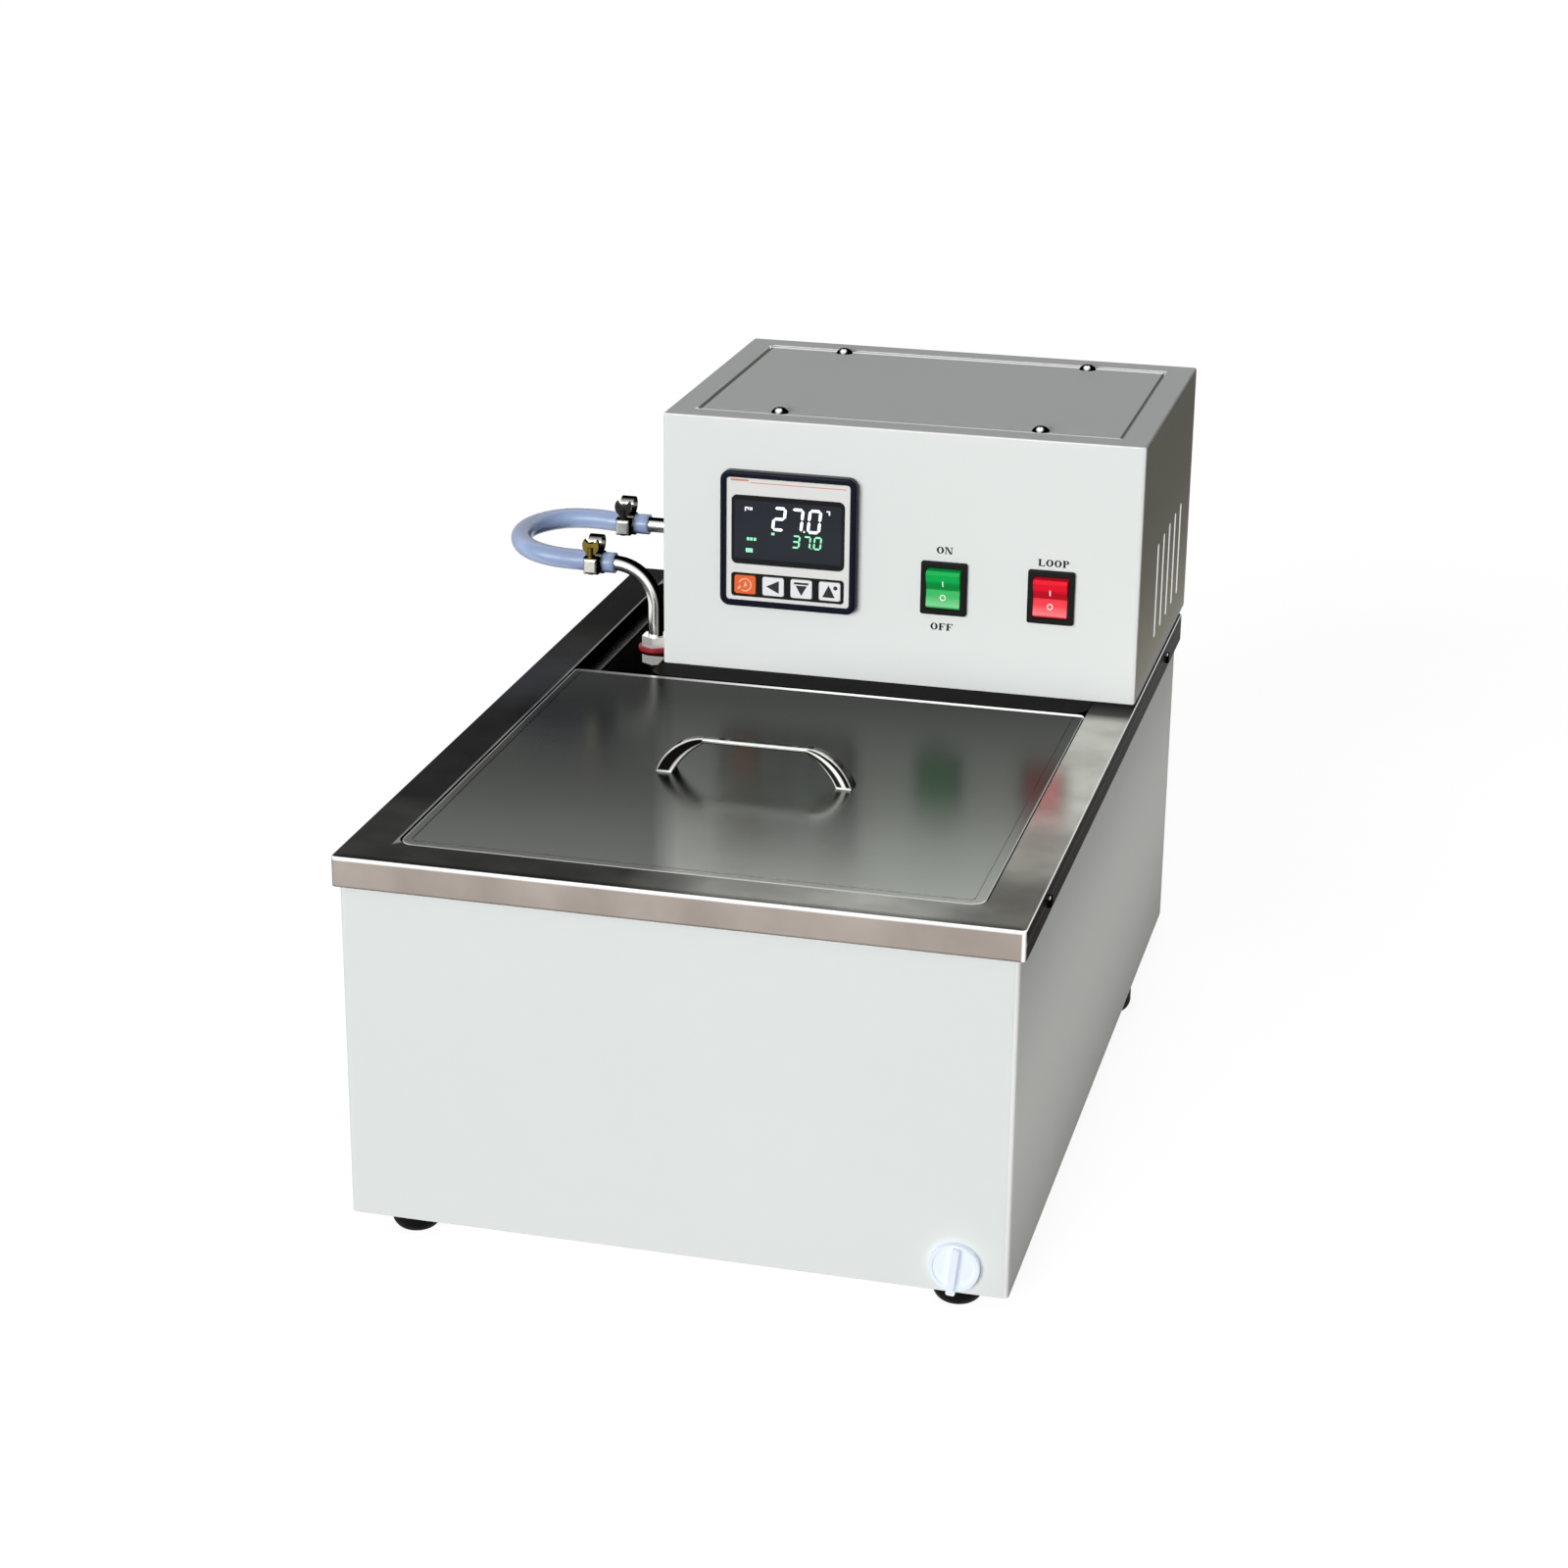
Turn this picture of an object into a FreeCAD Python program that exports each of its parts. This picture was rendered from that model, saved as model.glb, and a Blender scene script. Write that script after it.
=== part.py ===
import FreeCAD, Part
import math
import os

# A laboratory water bath: an insulated steel tank with a lid, and a control head on its rear half
# with a temperature controller, a circulation pump, a heater and a looped return hose.
# Millimetres. While the pieces are made, x = 0 is the middle of the tank, y = 0 the front of the
# rim and z = 0 the surface that the feet stand on. save() moves them to the part's own origin.

V = FreeCAD.Vector
X = V(1, 0, 0)
Y = V(0, 1, 0)
Z = V(0, 0, 1)

# Tank body
rim_width = 316.0
rim_depth = 470.0
body_height = 178.5
rim_skirt = 14.5
rim_sheet = 1.2
rim_flange = 22.5
rim_corner = 2.5
rim_bend = 1.0
casing_inset = 2.6
casing_sheet = 1.0
casing_corner = 3.0
casing_lip = 7.0
opening_corner = 8.0
recess_depth = 8.0
ledge_width = 7.0
throat_corner = 3.0
mitre_margin = 1.0
tank_sheet = 1.0
tank_flange = 5.0
tank_rise = 29.3
tank_bottom_radius = 2.5
wool_gap = 0.5
plate_gap = 0.4
foot_height = 11.0
foot_radius = 11.7
foot_tread_radius = 8.8
foot_boss_radius = 3.8
foot_shoulder = 0.62
foot_bulge_up = 0.42
foot_bulge_in = 0.6
foot_front_inset_x = 25.9
foot_front_inset_y = 17.6
foot_rear_inset_x = 11.2
foot_rear_inset_y = 115.0
foot_recess_radius = 4.2
foot_recess_depth = 4.0
foot_screw_radius = 2.0
rim_screw_inset_y = 56.0
rim_screw_drop = 8.4
rim_screw_radius = 1.5
screw_head_height = 1.4
screw_head_round = 1.0
screw_gap = 0.1

# Lid and its handle
lid_to_head = 22.0
lid_gap = 0.5
lid_sheet = 1.0
lid_roll = 1.2
lid_rear_corner = 3.0
lid_groove_inset = 4.6
lid_groove_width = 0.8
lid_groove_depth = 0.35
handle_length = 97.0
handle_bar_length = 51.0
handle_height = 18.0
handle_thickness = 2.6
handle_bar_width = 5.0
handle_foot_width = 9.0
handle_foot_length = 8.5
handle_forward = 3.5
handle_x = -1.3
handle_round = 0.8
handle_step = 0.15
leg_outer_along = 0.48
leg_outer_up = 0.79
leg_inner_along = 0.42
leg_inner_up = 0.48
leg_sections = 12
handle_screw_radius = 2.0
handle_screw_depth = 4.0

# Drain
drain_inset = 27.0
drain_height = 13.5
drain_radius = 6.5
drain_bore = 5.5
drain_run = 20.0
drain_inlet_inset = 42.5
drain_turn = 26.0
drain_bend = 9.0
plug_radius = 11.5
plug_turn = 6.0
plug_thickness = 2.2
plug_lip = 0.9
plug_lip_width = 1.7
plug_rib_width = 3.2
plug_rib_height = 3.6
plug_grip_corner = 1.0
plug_tab_width = 4.2
plug_tab_length = 2.8
plug_stem = 15.0
plug_wall = 1.6
plug_gap = 0.3

# Head
head_strip = 64.5
head_depth = 182.0
head_height = 134.5
head_overhang = 18.5
head_right_inset = 1.5
head_sheet = 1.2
head_corner = 1.8
head_edge = 1.1
head_lip = 10.0
base_sheet = 1.5
cover_margin = 15.0
cover_gap = 0.8
cover_sink = 0.4
cover_ledge = 9.0
cover_screw_inset_x = 42.0
cover_screw_inset_y = 5.0
cover_screw_radius = 1.5
cover_screw_head = 4.6
cover_screw_dome = 2.8
cover_screw_cross = 1.3
cover_screw_cross_depth = 1.5
slot_count = 5
slot_pitch = 20.5
slot_width = 5.0
slot_length = 51.5
slot_corner = 2.2
slot_first = 62.0
slot_bottom = 16.5
screen_margin = 7.0
screen_thickness = 1.0
deck_overlap = 1.5
deck_sheet = 1.2
hole_gap = 0.3

# Temperature controller
controller_size = 72.0
controller_left = 32.0
controller_bottom = 36.0
controller_proud = 5.0
controller_corner = 5.0
controller_border = 3.2
controller_edge = 1.0
case_step = 2.5
case_depth = 50.0
case_wall = 2.0
cutout_gap = 0.5
fascia_gap = 0.2
fascia_sink = 0.8
fascia_thickness = 1.6
window_margin = 6.0
window_height = 36.8
window_rise = 41.2
window_corner = 3.2
window_thickness = 1.4
strip_margin = 6.0
strip_height = 12.8
strip_rise = 11.7
strip_corner = 1.8
strip_thickness = 1.4
key_space = 3.5
key_height = 10.0
key_count = 4
key_corner = 1.3
key_gap = 0.3
key_proud = 0.5
key_edge = 0.4
key_flange = 0.7
key_flange_thickness = 0.8
key_travel = 0.6
pad_thickness = 1.5

# Rocker switches
switch_width = 24.0
switch_height = 28.0
switch_proud = 2.2
switch_corner = 1.2
power_switch_inset = 100.4
loop_switch_inset = 45.0
switch_rise = 53.5
switch_body_width = 20.6
switch_body_height = 24.2
switch_body_depth = 22.0
switch_edge = 0.7
blade_width = 6.4
blade_length = 8.0
blade_thickness = 0.8
rocker_width = 17.4
rocker_height = 20.3
rocker_gap = 0.4
rocker_well = 11.0
rocker_proud = 4.4
rocker_dip = 1.9
rocker_belly = 6.0
rocker_bevel = 1.6
rocker_tilt = 6.0
rocker_pivot_depth = 1.2
rocker_pin_radius = 1.2
rocker_pin_length = 1.0
pin_clearance = 0.05

# Pump and motor
pump_to_heater = 48.0
pump_to_wall = 45.5
motor_radius = 33.0
motor_height = 62.0
motor_flange = 3.0
motor_flange_radius = 38.0
shaft_radius = 3.0
shaft_clearance = 0.05
shaft_top_length = 12.0
fan_radius = 27.0
fan_hub = 7.0
fan_height = 9.0
fan_blades = 7
fan_lift = 2.0
fan_blade = 1.5
fan_pitch = 32.0
column_radius = 10.0
column_bore = 7.5
column_slot_width = 6.0
column_slot_height = 22.0
bush_length = 8.0
impeller_radius = 19.0
impeller_hub = 6.0
impeller_disc = 2.0
impeller_vane_height = 8.0
impeller_vane = 1.6
impeller_vanes = 6
vane_middle = 16.0
vane_sweep = 46.0
impeller_gap = 1.2
volute_start = 21.0
volute_step = 1.6
volute_wall = 2.0
volute_eye = 9.0
pump_clearance = 14.0
discharge_steps = 5
discharge_from = 3
discharge_radius = 7.0

# Pipes, hose and clamps
pipe_radius = 4.0
pipe_wall = 0.8
pipe_bend = 14.0
outlet_inset = 17.5
outlet_to_pump = 22.5
outlet_rise = 55.0
outlet_hose_reach = 27.0
outlet_clamp_reach = 39.3
return_outset = 10.1
return_inset = 20.0
return_rise = 46.0
return_hose_reach = 32.0
return_clamp_reach = 43.0
pipe_past_clamp = 10.0
return_bend = 22.0
return_tail = 45.0
seal_radius = 9.2
seal_thickness = 2.6
seal_round = 0.9
nut_flats = 13.0
nut_height = 5.5
ear_radius = 8.4
hose_radius = 5.5
hose_bore = 4.0
hose_bend_share = 0.45
clamp_width = 9.0
clamp_band = 0.7
clamp_housing_width = 8.0
clamp_housing_height = 9.0
clamp_housing_depth = 5.4
clamp_screw_radius = 2.0
clamp_screw_reach = 5.5
clamp_key_width = 9.0
clamp_key_height = 8.0
clamp_key_thickness = 2.4
clamp_tail_radius = 4.5
clamp_tail_width = 7.2
clamp_tail_back = 1.9
clamp_housing_round = 1.7
clamp_key_up = 1.9
clamp_key_neck = 1.6
clamp_key_belly = 0.55
clamp_key_tip = 3.4
clamp_key_notch = 2.2
grommet_radius = 7.5
grommet_lip = 1.6

# Heater, probe, relay and inlet
heater_radius = 4.0
heater_inset = 58.5
heater_pitch = 21.0
heater_front_inset = 19.5
heater_rear_inset = 12.5
heater_clearance = 16.0
heater_bend = 9.5
heater_top = 16.0
gland_radius = 8.0
gland_height = 7.0
probe_inset_x = 81.5
probe_inset_y = 23.5
probe_radius = 2.5
probe_length = 118.0
probe_top = 12.0
sink_inset_x = 39.5
sink_inset_y = 48.5
sink_length = 56.0
sink_width = 50.0
sink_base = 4.0
sink_height = 24.0
sink_fins = 8
sink_fin = 1.6
relay_length = 44.0
relay_width = 22.0
relay_height = 30.0
relay_edge = 1.0
terminal_inset_x = 34.5
terminal_inset_y = 33.5
terminal_length = 44.0
terminal_width = 16.0
terminal_height = 14.0
terminal_ways = 4
terminal_bore = 3.0
inlet_inset = 44.5
inlet_rise = 34.0
inlet_width = 27.6
inlet_height = 19.8
inlet_flange = 3.0
inlet_flange_thickness = 2.4
inlet_depth = 20.0
inlet_socket_width = 24.0
inlet_socket_height = 16.4
inlet_socket_depth = 15.5
inlet_pin_width = 2.0
inlet_pin_height = 4.0
inlet_pin_length = 13.0
inlet_pin_spread = 7.0
inlet_pin_rise = 2.1
inlet_tab = 7.0
fuse_to_inlet = 36.0
fuse_radius = 6.5
fuse_cap_radius = 8.5
fuse_cap_height = 9.0
fuse_slot = 1.6
fuse_slot_depth = 2.2
fuse_body_length = 26.0

# Levels and places that follow from the sizes above
rim_top = foot_height + body_height
half_rim = rim_width / 2
half_casing = half_rim - casing_inset
casing_front = casing_inset
casing_rear = rim_depth - casing_inset
half_opening = half_rim - rim_flange
opening_front = rim_flange
opening_rear = rim_depth - rim_flange
half_throat = half_opening - ledge_width
throat_front = opening_front + ledge_width
throat_rear = opening_rear - ledge_width
ledge_top = rim_top - recess_depth
tank_top = ledge_top - rim_sheet
tank_floor = foot_height + tank_rise
head_right = half_rim - head_right_inset
head_left = head_strip - half_rim
head_rear = rim_depth + head_overhang
head_front = head_rear - head_depth
lid_rear = head_front - lid_to_head
handle_y = (opening_front + lid_rear) / 2 - handle_forward
deck_left = head_left - deck_overlap
head_top = rim_top + head_height
cover_top = head_top - cover_sink
base_top = rim_top + base_sheet
cover_left = head_left + cover_margin
cover_right = head_right - cover_margin
cover_front = head_front + cover_margin
cover_rear = head_rear - cover_margin
drain_x = half_rim - drain_inset
drain_z = foot_height + drain_height
drain_inlet_x = drain_x - drain_run
drain_inlet_y = throat_front + drain_inlet_inset
drain_turn_y = drain_inlet_y - drain_turn
casing_bottom = foot_height + casing_sheet
plug_front = casing_front - plug_gap - plug_thickness - plug_rib_height
fuse_rear = head_rear + fuse_cap_height
middle_y = (min(plug_front, 0.0) + fuse_rear) / 2
case_size = controller_size - 2 * case_step
window_width = controller_size - 2 * window_margin
strip_width = controller_size - 2 * strip_margin
key_pitch = strip_width / key_count
key_width = key_pitch - key_space
controller_x = head_left + controller_left + controller_size / 2
controller_z = rim_top + controller_bottom + controller_size / 2
fascia_front = head_front - controller_proud + fascia_sink
fascia_back = fascia_front + fascia_thickness
window_z = rim_top + controller_bottom + window_rise
strip_z = rim_top + controller_bottom + strip_rise
power_switch_x = head_right - power_switch_inset
loop_switch_x = head_right - loop_switch_inset
switch_z = rim_top + switch_rise
heater_x = head_right - heater_inset
heater_front = head_front + heater_front_inset
heater_rear = throat_rear - heater_rear_inset
pump_x = heater_x - pump_to_heater
pump_y = throat_rear - pump_to_wall
outlet_x = head_left + outlet_inset
outlet_y = pump_y - outlet_to_pump
outlet_hose_x = head_left - outlet_hose_reach
outlet_clamp_x = head_left - outlet_clamp_reach
return_x = head_left - return_outset
return_y = head_front + return_inset
return_hose_x = head_left - return_hose_reach
return_clamp_x = head_left - return_clamp_reach
probe_x = head_left + probe_inset_x
probe_y = head_front + probe_inset_y
sink_x = head_left + sink_inset_x
sink_y = head_rear - sink_inset_y
terminal_x = head_right - terminal_inset_x
terminal_y = head_rear - terminal_inset_y
inlet_x = head_right - inlet_inset
fuse_x = inlet_x - fuse_to_inlet
outlet_z = rim_top + outlet_rise
return_z = rim_top + return_rise
pump_bottom = tank_floor + pump_clearance
pump_top = pump_bottom + impeller_disc + impeller_vane_height + 2 * impeller_gap + 2 * volute_wall
motor_base = base_top + motor_flange
motor_top = motor_base + motor_height
inlet_z = rim_top + inlet_rise

# The hose's route, from the outlet round the loop to the return, measured from the head's lower front left
# corner. The first and last runs lie over the pipe ends, and the points between are chosen for the loop's
# rounded bend.
hose_base = V(head_left, head_front, rim_top)
hose_route = [
    V(outlet_hose_x, outlet_y, outlet_z),
    hose_base + V(-44.0, 66.1, 55.1),
    hose_base + V(-61.0, 67.9, 55.5),
    hose_base + V(-77.5, 65.1, 54.8),
    hose_base + V(-89.0, 52.3, 53.7),
    hose_base + V(-91.5, 36.1, 52.0),
    hose_base + V(-83.1, 22.1, 49.5),
    hose_base + V(-67.5, 17.4, 47.3),
    hose_base + V(-50.3, 19.9, 46.1),
    V(return_hose_x, return_y, return_z),
]


def save(name, shape):
    """Writes one node, moved to the part's origin under the middle of its plan."""
    moved = shape.copy()
    moved.translate(V(0, -middle_y, 0))
    moved.exportStep("parts/" + name + ".step")


def cylinder(base, axis, radius, length):
    return Part.makeCylinder(radius, length, base, axis)


def ring(base, axis, outer, inner, length):
    return cylinder(base, axis, outer, length).cut(cylinder(base, axis, inner, length))


def block(x0, x1, y0, y1, z0, z1):
    return Part.makeBox(x1 - x0, y1 - y0, z1 - z0, V(x0, y0, z0))


def rounded_face(origin, along, across, width, height, radius):
    """A rectangle with rounded corners, from its low corner, spanned by two unit directions."""
    def at(u, v):
        return origin + along * u + across * v
    r = radius
    k = r * (1 - math.sqrt(0.5))
    w = width
    h = height
    edges = [
        Part.LineSegment(at(r, 0), at(w - r, 0)),
        Part.Arc(at(w - r, 0), at(w - k, k), at(w, r)),
        Part.LineSegment(at(w, r), at(w, h - r)),
        Part.Arc(at(w, h - r), at(w - k, h - k), at(w - r, h)),
        Part.LineSegment(at(w - r, h), at(r, h)),
        Part.Arc(at(r, h), at(k, h - k), at(0, h - r)),
        Part.LineSegment(at(0, h - r), at(0, r)),
        Part.Arc(at(0, r), at(k, k), at(r, 0)),
    ]
    return Part.Face(Part.Wire([edge.toShape() for edge in edges]))


def prism(x0, x1, y0, y1, z0, z1, radius):
    """A block with its four upright edges rounded."""
    return rounded_face(V(x0, y0, z0), X, Y, x1 - x0, y1 - y0, radius).extrude(Z * (z1 - z0))


def panel(x, z, width, height, y0, y1, radius):
    """A plate that faces the front, centred on x and z, with rounded corners."""
    low = V(x - width / 2, y0, z - height / 2)
    return rounded_face(low, X, Z, width, height, radius).extrude(Y * (y1 - y0))


def bent_wire(points, radii):
    """Straight runs joined by arcs tangent to both, one radius for each inner point."""
    edges = []
    start = points[0]
    for i in range(1, len(points) - 1):
        back = (points[i - 1] - points[i]).normalize()
        ahead = (points[i + 1] - points[i]).normalize()
        half_turn = (math.pi - back.getAngle(ahead)) / 2
        reach = radii[i - 1] * math.tan(half_turn)
        first = points[i] + back * reach
        last = points[i] + ahead * reach
        inward = (back + ahead).normalize()
        middle = points[i] + inward * (radii[i - 1] / math.cos(half_turn) - radii[i - 1])
        if (first - start).Length > 1e-6:
            edges.append(Part.LineSegment(start, first).toShape())
        edges.append(Part.Arc(first, middle, last).toShape())
        start = last
    edges.append(Part.LineSegment(start, points[-1]).toShape())
    return Part.Wire(edges)


def rod(points, radii, radius):
    """A round bar carried along a bent path."""
    path = bent_wire(points, radii)
    section = Part.Wire(Part.makeCircle(radius, points[0], points[1] - points[0]))
    return path.makePipeShell([section], True, False)


def tube(points, radii, outer, inner):
    return rod(points, radii, outer).cut(rod(points, radii, inner))


def hexagon(centre, flats, z0, z1):
    """A nut blank with its flats across the given width, upright at the centre."""
    corner = flats / math.sqrt(3)
    points = [V(centre.x + corner * math.cos(math.radians(60 * k + 30)),
                centre.y + corner * math.sin(math.radians(60 * k + 30)), z0) for k in range(7)]
    return Part.Face(Part.makePolygon(points)).extrude(Z * (z1 - z0))


# Tank body

def outer_casing():
    """Painted sheet folded round the four sides, with lips turned in at the top and the bottom."""
    top = rim_top - rim_sheet
    wall = casing_sheet
    outer = prism(-half_casing, half_casing, casing_front, casing_rear, foot_height, top, casing_corner)
    room = prism(-half_casing + wall, half_casing - wall, casing_front + wall, casing_rear - wall,
                 casing_bottom, top - wall, casing_corner - wall)
    lip = casing_lip
    way = prism(-half_casing + lip, half_casing - lip, casing_front + lip, casing_rear - lip,
                foot_height, top, casing_corner)
    hole = cylinder(V(drain_x, casing_front - wall, drain_z), Y, drain_radius + hole_gap, lip)
    return outer.cut(room).cut(way).cut(hole).cut(rim_screw_holes())


def foot_places():
    front_x = half_casing - foot_front_inset_x
    rear_x = half_casing - foot_rear_inset_x
    names = {}
    for side, sx in (("left", -1), ("right", 1)):
        names["foot_front_" + side] = V(sx * front_x, casing_front + foot_front_inset_y, 0)
        names["foot_rear_" + side] = V(sx * rear_x, casing_rear - foot_rear_inset_y, 0)
    return names


def bottom_plate():
    """A flat sheet on the casing's bottom lip, drilled for the foot screws."""
    gap = casing_sheet + plate_gap
    plate = prism(-half_casing + gap, half_casing - gap, casing_front + gap, casing_rear - gap,
                  casing_bottom, casing_bottom + casing_sheet, casing_corner)
    for place in foot_places().values():
        plate = plate.cut(cylinder(place, Z, foot_screw_radius + screw_gap, rim_top))
    return plate


def rubber_foot(place):
    """A domed rubber foot with a boss up to the plate, recessed underneath for its screw."""
    shoulder = foot_height * foot_shoulder
    outline = [V(foot_recess_radius, 0, 0), V(foot_tread_radius, 0, 0)]
    bulge = V(foot_radius - foot_bulge_in, 0, shoulder * foot_bulge_up)
    dome = Part.Arc(outline[1], bulge, V(foot_radius, 0, shoulder)).toShape()
    corners = [V(foot_radius, 0, shoulder), V(foot_radius, 0, foot_height),
               V(foot_boss_radius, 0, foot_height), V(foot_boss_radius, 0, casing_bottom),
               V(foot_screw_radius + screw_gap, 0, casing_bottom),
               V(foot_screw_radius + screw_gap, 0, foot_recess_depth),
               V(foot_recess_radius, 0, foot_recess_depth), outline[0], outline[1]]
    side = Part.makePolygon(corners)
    face = Part.Face(Part.Wire([dome] + side.Edges))
    foot = face.revolve(V(0, 0, 0), Z, 360)
    foot.translate(place)
    return foot


def foot_screws():
    """Pan-head screws up through the feet and the bottom plate."""
    screws = []
    for place in foot_places().values():
        head_top = foot_recess_depth
        head = cylinder(place + Z * (head_top - 2 * screw_head_height), Z,
                        foot_recess_radius - 2 * hole_gap, 2 * screw_head_height)
        shank = cylinder(place + Z * head_top, Z, foot_screw_radius,
                         casing_bottom + casing_sheet * 3 - head_top)
        screws.append(head.fuse(shank))
    return Part.makeCompound(screws)


def rim_screw_places():
    z = rim_top - rim_screw_drop
    ys = (rim_screw_inset_y, rim_depth - rim_screw_inset_y)
    return [(sx, V(sx * half_rim, y, z)) for sx in (-1, 1) for y in ys]


def rim_screw_holes():
    holes = []
    for sx, place in rim_screw_places():
        reach = casing_inset + casing_lip
        holes.append(cylinder(place, X * -sx, rim_screw_radius + screw_gap, reach))
    return Part.makeCompound(holes)


def rim_lengths(rim):
    """The rim as the four bent lengths that it is mitred and welded from."""
    reach = rim_flange + ledge_width + mitre_margin
    right = half_rim - reach
    rear = rim_depth - reach
    front_left = V(-half_rim, 0, 0)
    front_right = V(half_rim, 0, 0)
    rear_left = V(-half_rim, rim_depth, 0)
    rear_right = V(half_rim, rim_depth, 0)
    plans = [
        [front_left, front_right, V(right, reach, 0), V(-right, reach, 0), front_left],
        [rear_right, rear_left, V(-right, rear, 0), V(right, rear, 0), rear_right],
        [rear_left, front_left, V(-right, reach, 0), V(-right, rear, 0), rear_left],
        [front_right, rear_right, V(right, rear, 0), V(right, reach, 0), front_right],
    ]
    lengths = []
    for plan in plans:
        lengths += rim.common(Part.Face(Part.makePolygon(plan)).extrude(Z * 2 * rim_top)).Solids
    return Part.makeCompound(lengths)


def top_rim():
    """Stainless top: a flat border with a skirt outside, and a sunk ledge for the lid."""
    skirt_bottom = rim_top - rim_skirt
    sheet = rim_sheet
    cap = prism(-half_rim, half_rim, 0, rim_depth, skirt_bottom, rim_top, rim_corner)
    cap = cap.makeFillet(rim_bend, edges_at(cap, rim_top))
    under = prism(-half_rim + sheet, half_rim - sheet, sheet, rim_depth - sheet,
                  skirt_bottom, rim_top - sheet, rim_corner - sheet)
    sunk = prism(-half_opening - sheet, half_opening + sheet, opening_front - sheet, opening_rear + sheet,
                 ledge_top - sheet, rim_top, opening_corner + sheet)
    recess = prism(-half_opening, half_opening, opening_front, opening_rear,
                   ledge_top, rim_top, opening_corner)
    throat = prism(-half_throat, half_throat, throat_front, throat_rear,
                   ledge_top - sheet, rim_top, throat_corner)
    rim = cap.cut(under).fuse(sunk).cut(recess).cut(throat)
    return rim_lengths(rim.cut(rim_screw_holes()).removeSplitter())


def rim_screws():
    """Small domed screws that hold the rim's skirt to the casing."""
    screws = []
    for sx, place in rim_screw_places():
        head = cylinder(place, X * sx, 2 * rim_screw_radius, screw_head_height)
        rim_edge = [edge for edge in head.Edges if abs(edge.BoundBox.XLength) < 1e-6
                    and abs(edge.BoundBox.Center.x) > half_rim + screw_head_height / 2]
        head = head.makeFillet(screw_head_round, rim_edge)
        shank = cylinder(place, X * -sx, rim_screw_radius, casing_inset + casing_sheet * 3)
        screws.append(head.fuse(shank))
    return Part.makeCompound(screws)


def tank_sheets(tank):
    """The tank as the flat and bent sheets that it is welded from."""
    xs = [-half_rim, -half_throat + throat_corner, half_throat - throat_corner, half_rim]
    ys = [0, throat_front + throat_corner, throat_rear - throat_corner, rim_depth]
    zs = [foot_height, tank_floor + tank_bottom_radius, tank_top - tank_sheet, rim_top]
    sheets = []
    for x0, x1 in zip(xs, xs[1:]):
        for y0, y1 in zip(ys, ys[1:]):
            for z0, z1 in zip(zs, zs[1:]):
                sheets += tank.common(block(x0, x1, y0, y1, z0, z1)).Solids
    return Part.makeCompound(sheets)


def inner_tank():
    """The welded stainless tank, flanged under the ledge and rounded round its floor."""
    t = tank_sheet
    outer = prism(-half_throat - t, half_throat + t, throat_front - t, throat_rear + t,
                  tank_floor - t, tank_top, throat_corner + t)
    room = prism(-half_throat, half_throat, throat_front, throat_rear,
                 tank_floor, tank_top + t, throat_corner)
    outer = outer.makeFillet(tank_bottom_radius + t, edges_at(outer, tank_floor - t))
    room = room.makeFillet(tank_bottom_radius, edges_at(room, tank_floor))
    flange = prism(-half_throat - tank_flange, half_throat + tank_flange, throat_front - tank_flange,
                   throat_rear + tank_flange, tank_top - t, tank_top, throat_corner + tank_flange)
    hole = cylinder(V(drain_inlet_x, drain_inlet_y, tank_floor - 2 * t), Z, drain_radius, 4 * t)
    return tank_sheets(outer.fuse(flange).cut(room).cut(hole).removeSplitter())


def edges_at(shape, height):
    """The edges that lie flat at one height."""
    return [edge for edge in shape.Edges
            if abs(edge.BoundBox.ZMin - height) < 1e-4 and abs(edge.BoundBox.ZMax - height) < 1e-4]


def insulation():
    """Mineral wool round the tank and under it, cut away along the drain pipe."""
    gap = wool_gap + casing_sheet
    top = tank_top - 2 * tank_sheet
    bottom = casing_bottom + casing_sheet
    outer = prism(-half_casing + gap, half_casing - gap, casing_front + gap, casing_rear - gap,
                  bottom, top, casing_corner)
    clear = tank_sheet + wool_gap
    room = prism(-half_throat - clear, half_throat + clear, throat_front - clear, throat_rear + clear,
                 tank_floor - tank_sheet, rim_top, throat_corner + clear)
    reach = drain_radius + 2 * wool_gap
    channel = block(drain_inlet_x - reach, drain_x + reach, casing_front, drain_inlet_y + reach,
                    bottom - 1, tank_floor)
    nuts = [cylinder(place, Z, 2 * foot_screw_radius, casing_bottom + 5 * casing_sheet)
            for place in foot_places().values()]
    return outer.cut(room).cut(channel).cut(Part.makeCompound(nuts)).cut(rim_screw_holes())


def drain_route():
    return [V(drain_inlet_x, drain_inlet_y, tank_floor), V(drain_inlet_x, drain_inlet_y, drain_z),
            V(drain_x, drain_turn_y, drain_z), V(drain_x, casing_front, drain_z)]


def drain_pipe():
    """A stainless spigot from the tank's floor, bent forward to the front of the casing."""
    return tube(drain_route(), [drain_bend, 2 * drain_bend], drain_radius, drain_bore)


def drain_plug():
    """A moulded push-in plug: a lipped disc with an upright grip rib, a tab and a hollow stem."""
    back = casing_front - plug_gap
    front = back - plug_thickness
    centre = V(drain_x, front, drain_z)
    disc = cylinder(centre, Y, plug_radius, plug_thickness)
    lip = ring(centre - Y * plug_lip, Y, plug_radius, plug_radius - plug_lip_width,
               plug_lip + plug_thickness)
    rib = panel(drain_x, drain_z, plug_rib_width, 2 * plug_radius - plug_lip_width,
                front - plug_rib_height, front, plug_grip_corner)
    tab = panel(drain_x, drain_z - plug_radius, plug_tab_width, 2 * plug_tab_length,
                front, back, plug_grip_corner)
    grip = rib.fuse(tab)
    grip.rotate(centre, Y, plug_turn)
    radius = drain_bore - plug_gap
    stem = ring(V(drain_x, back, drain_z), Y, radius, radius - plug_wall, plug_stem)
    return disc.fuse([lip, grip, stem]).removeSplitter()


# Lid

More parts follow.
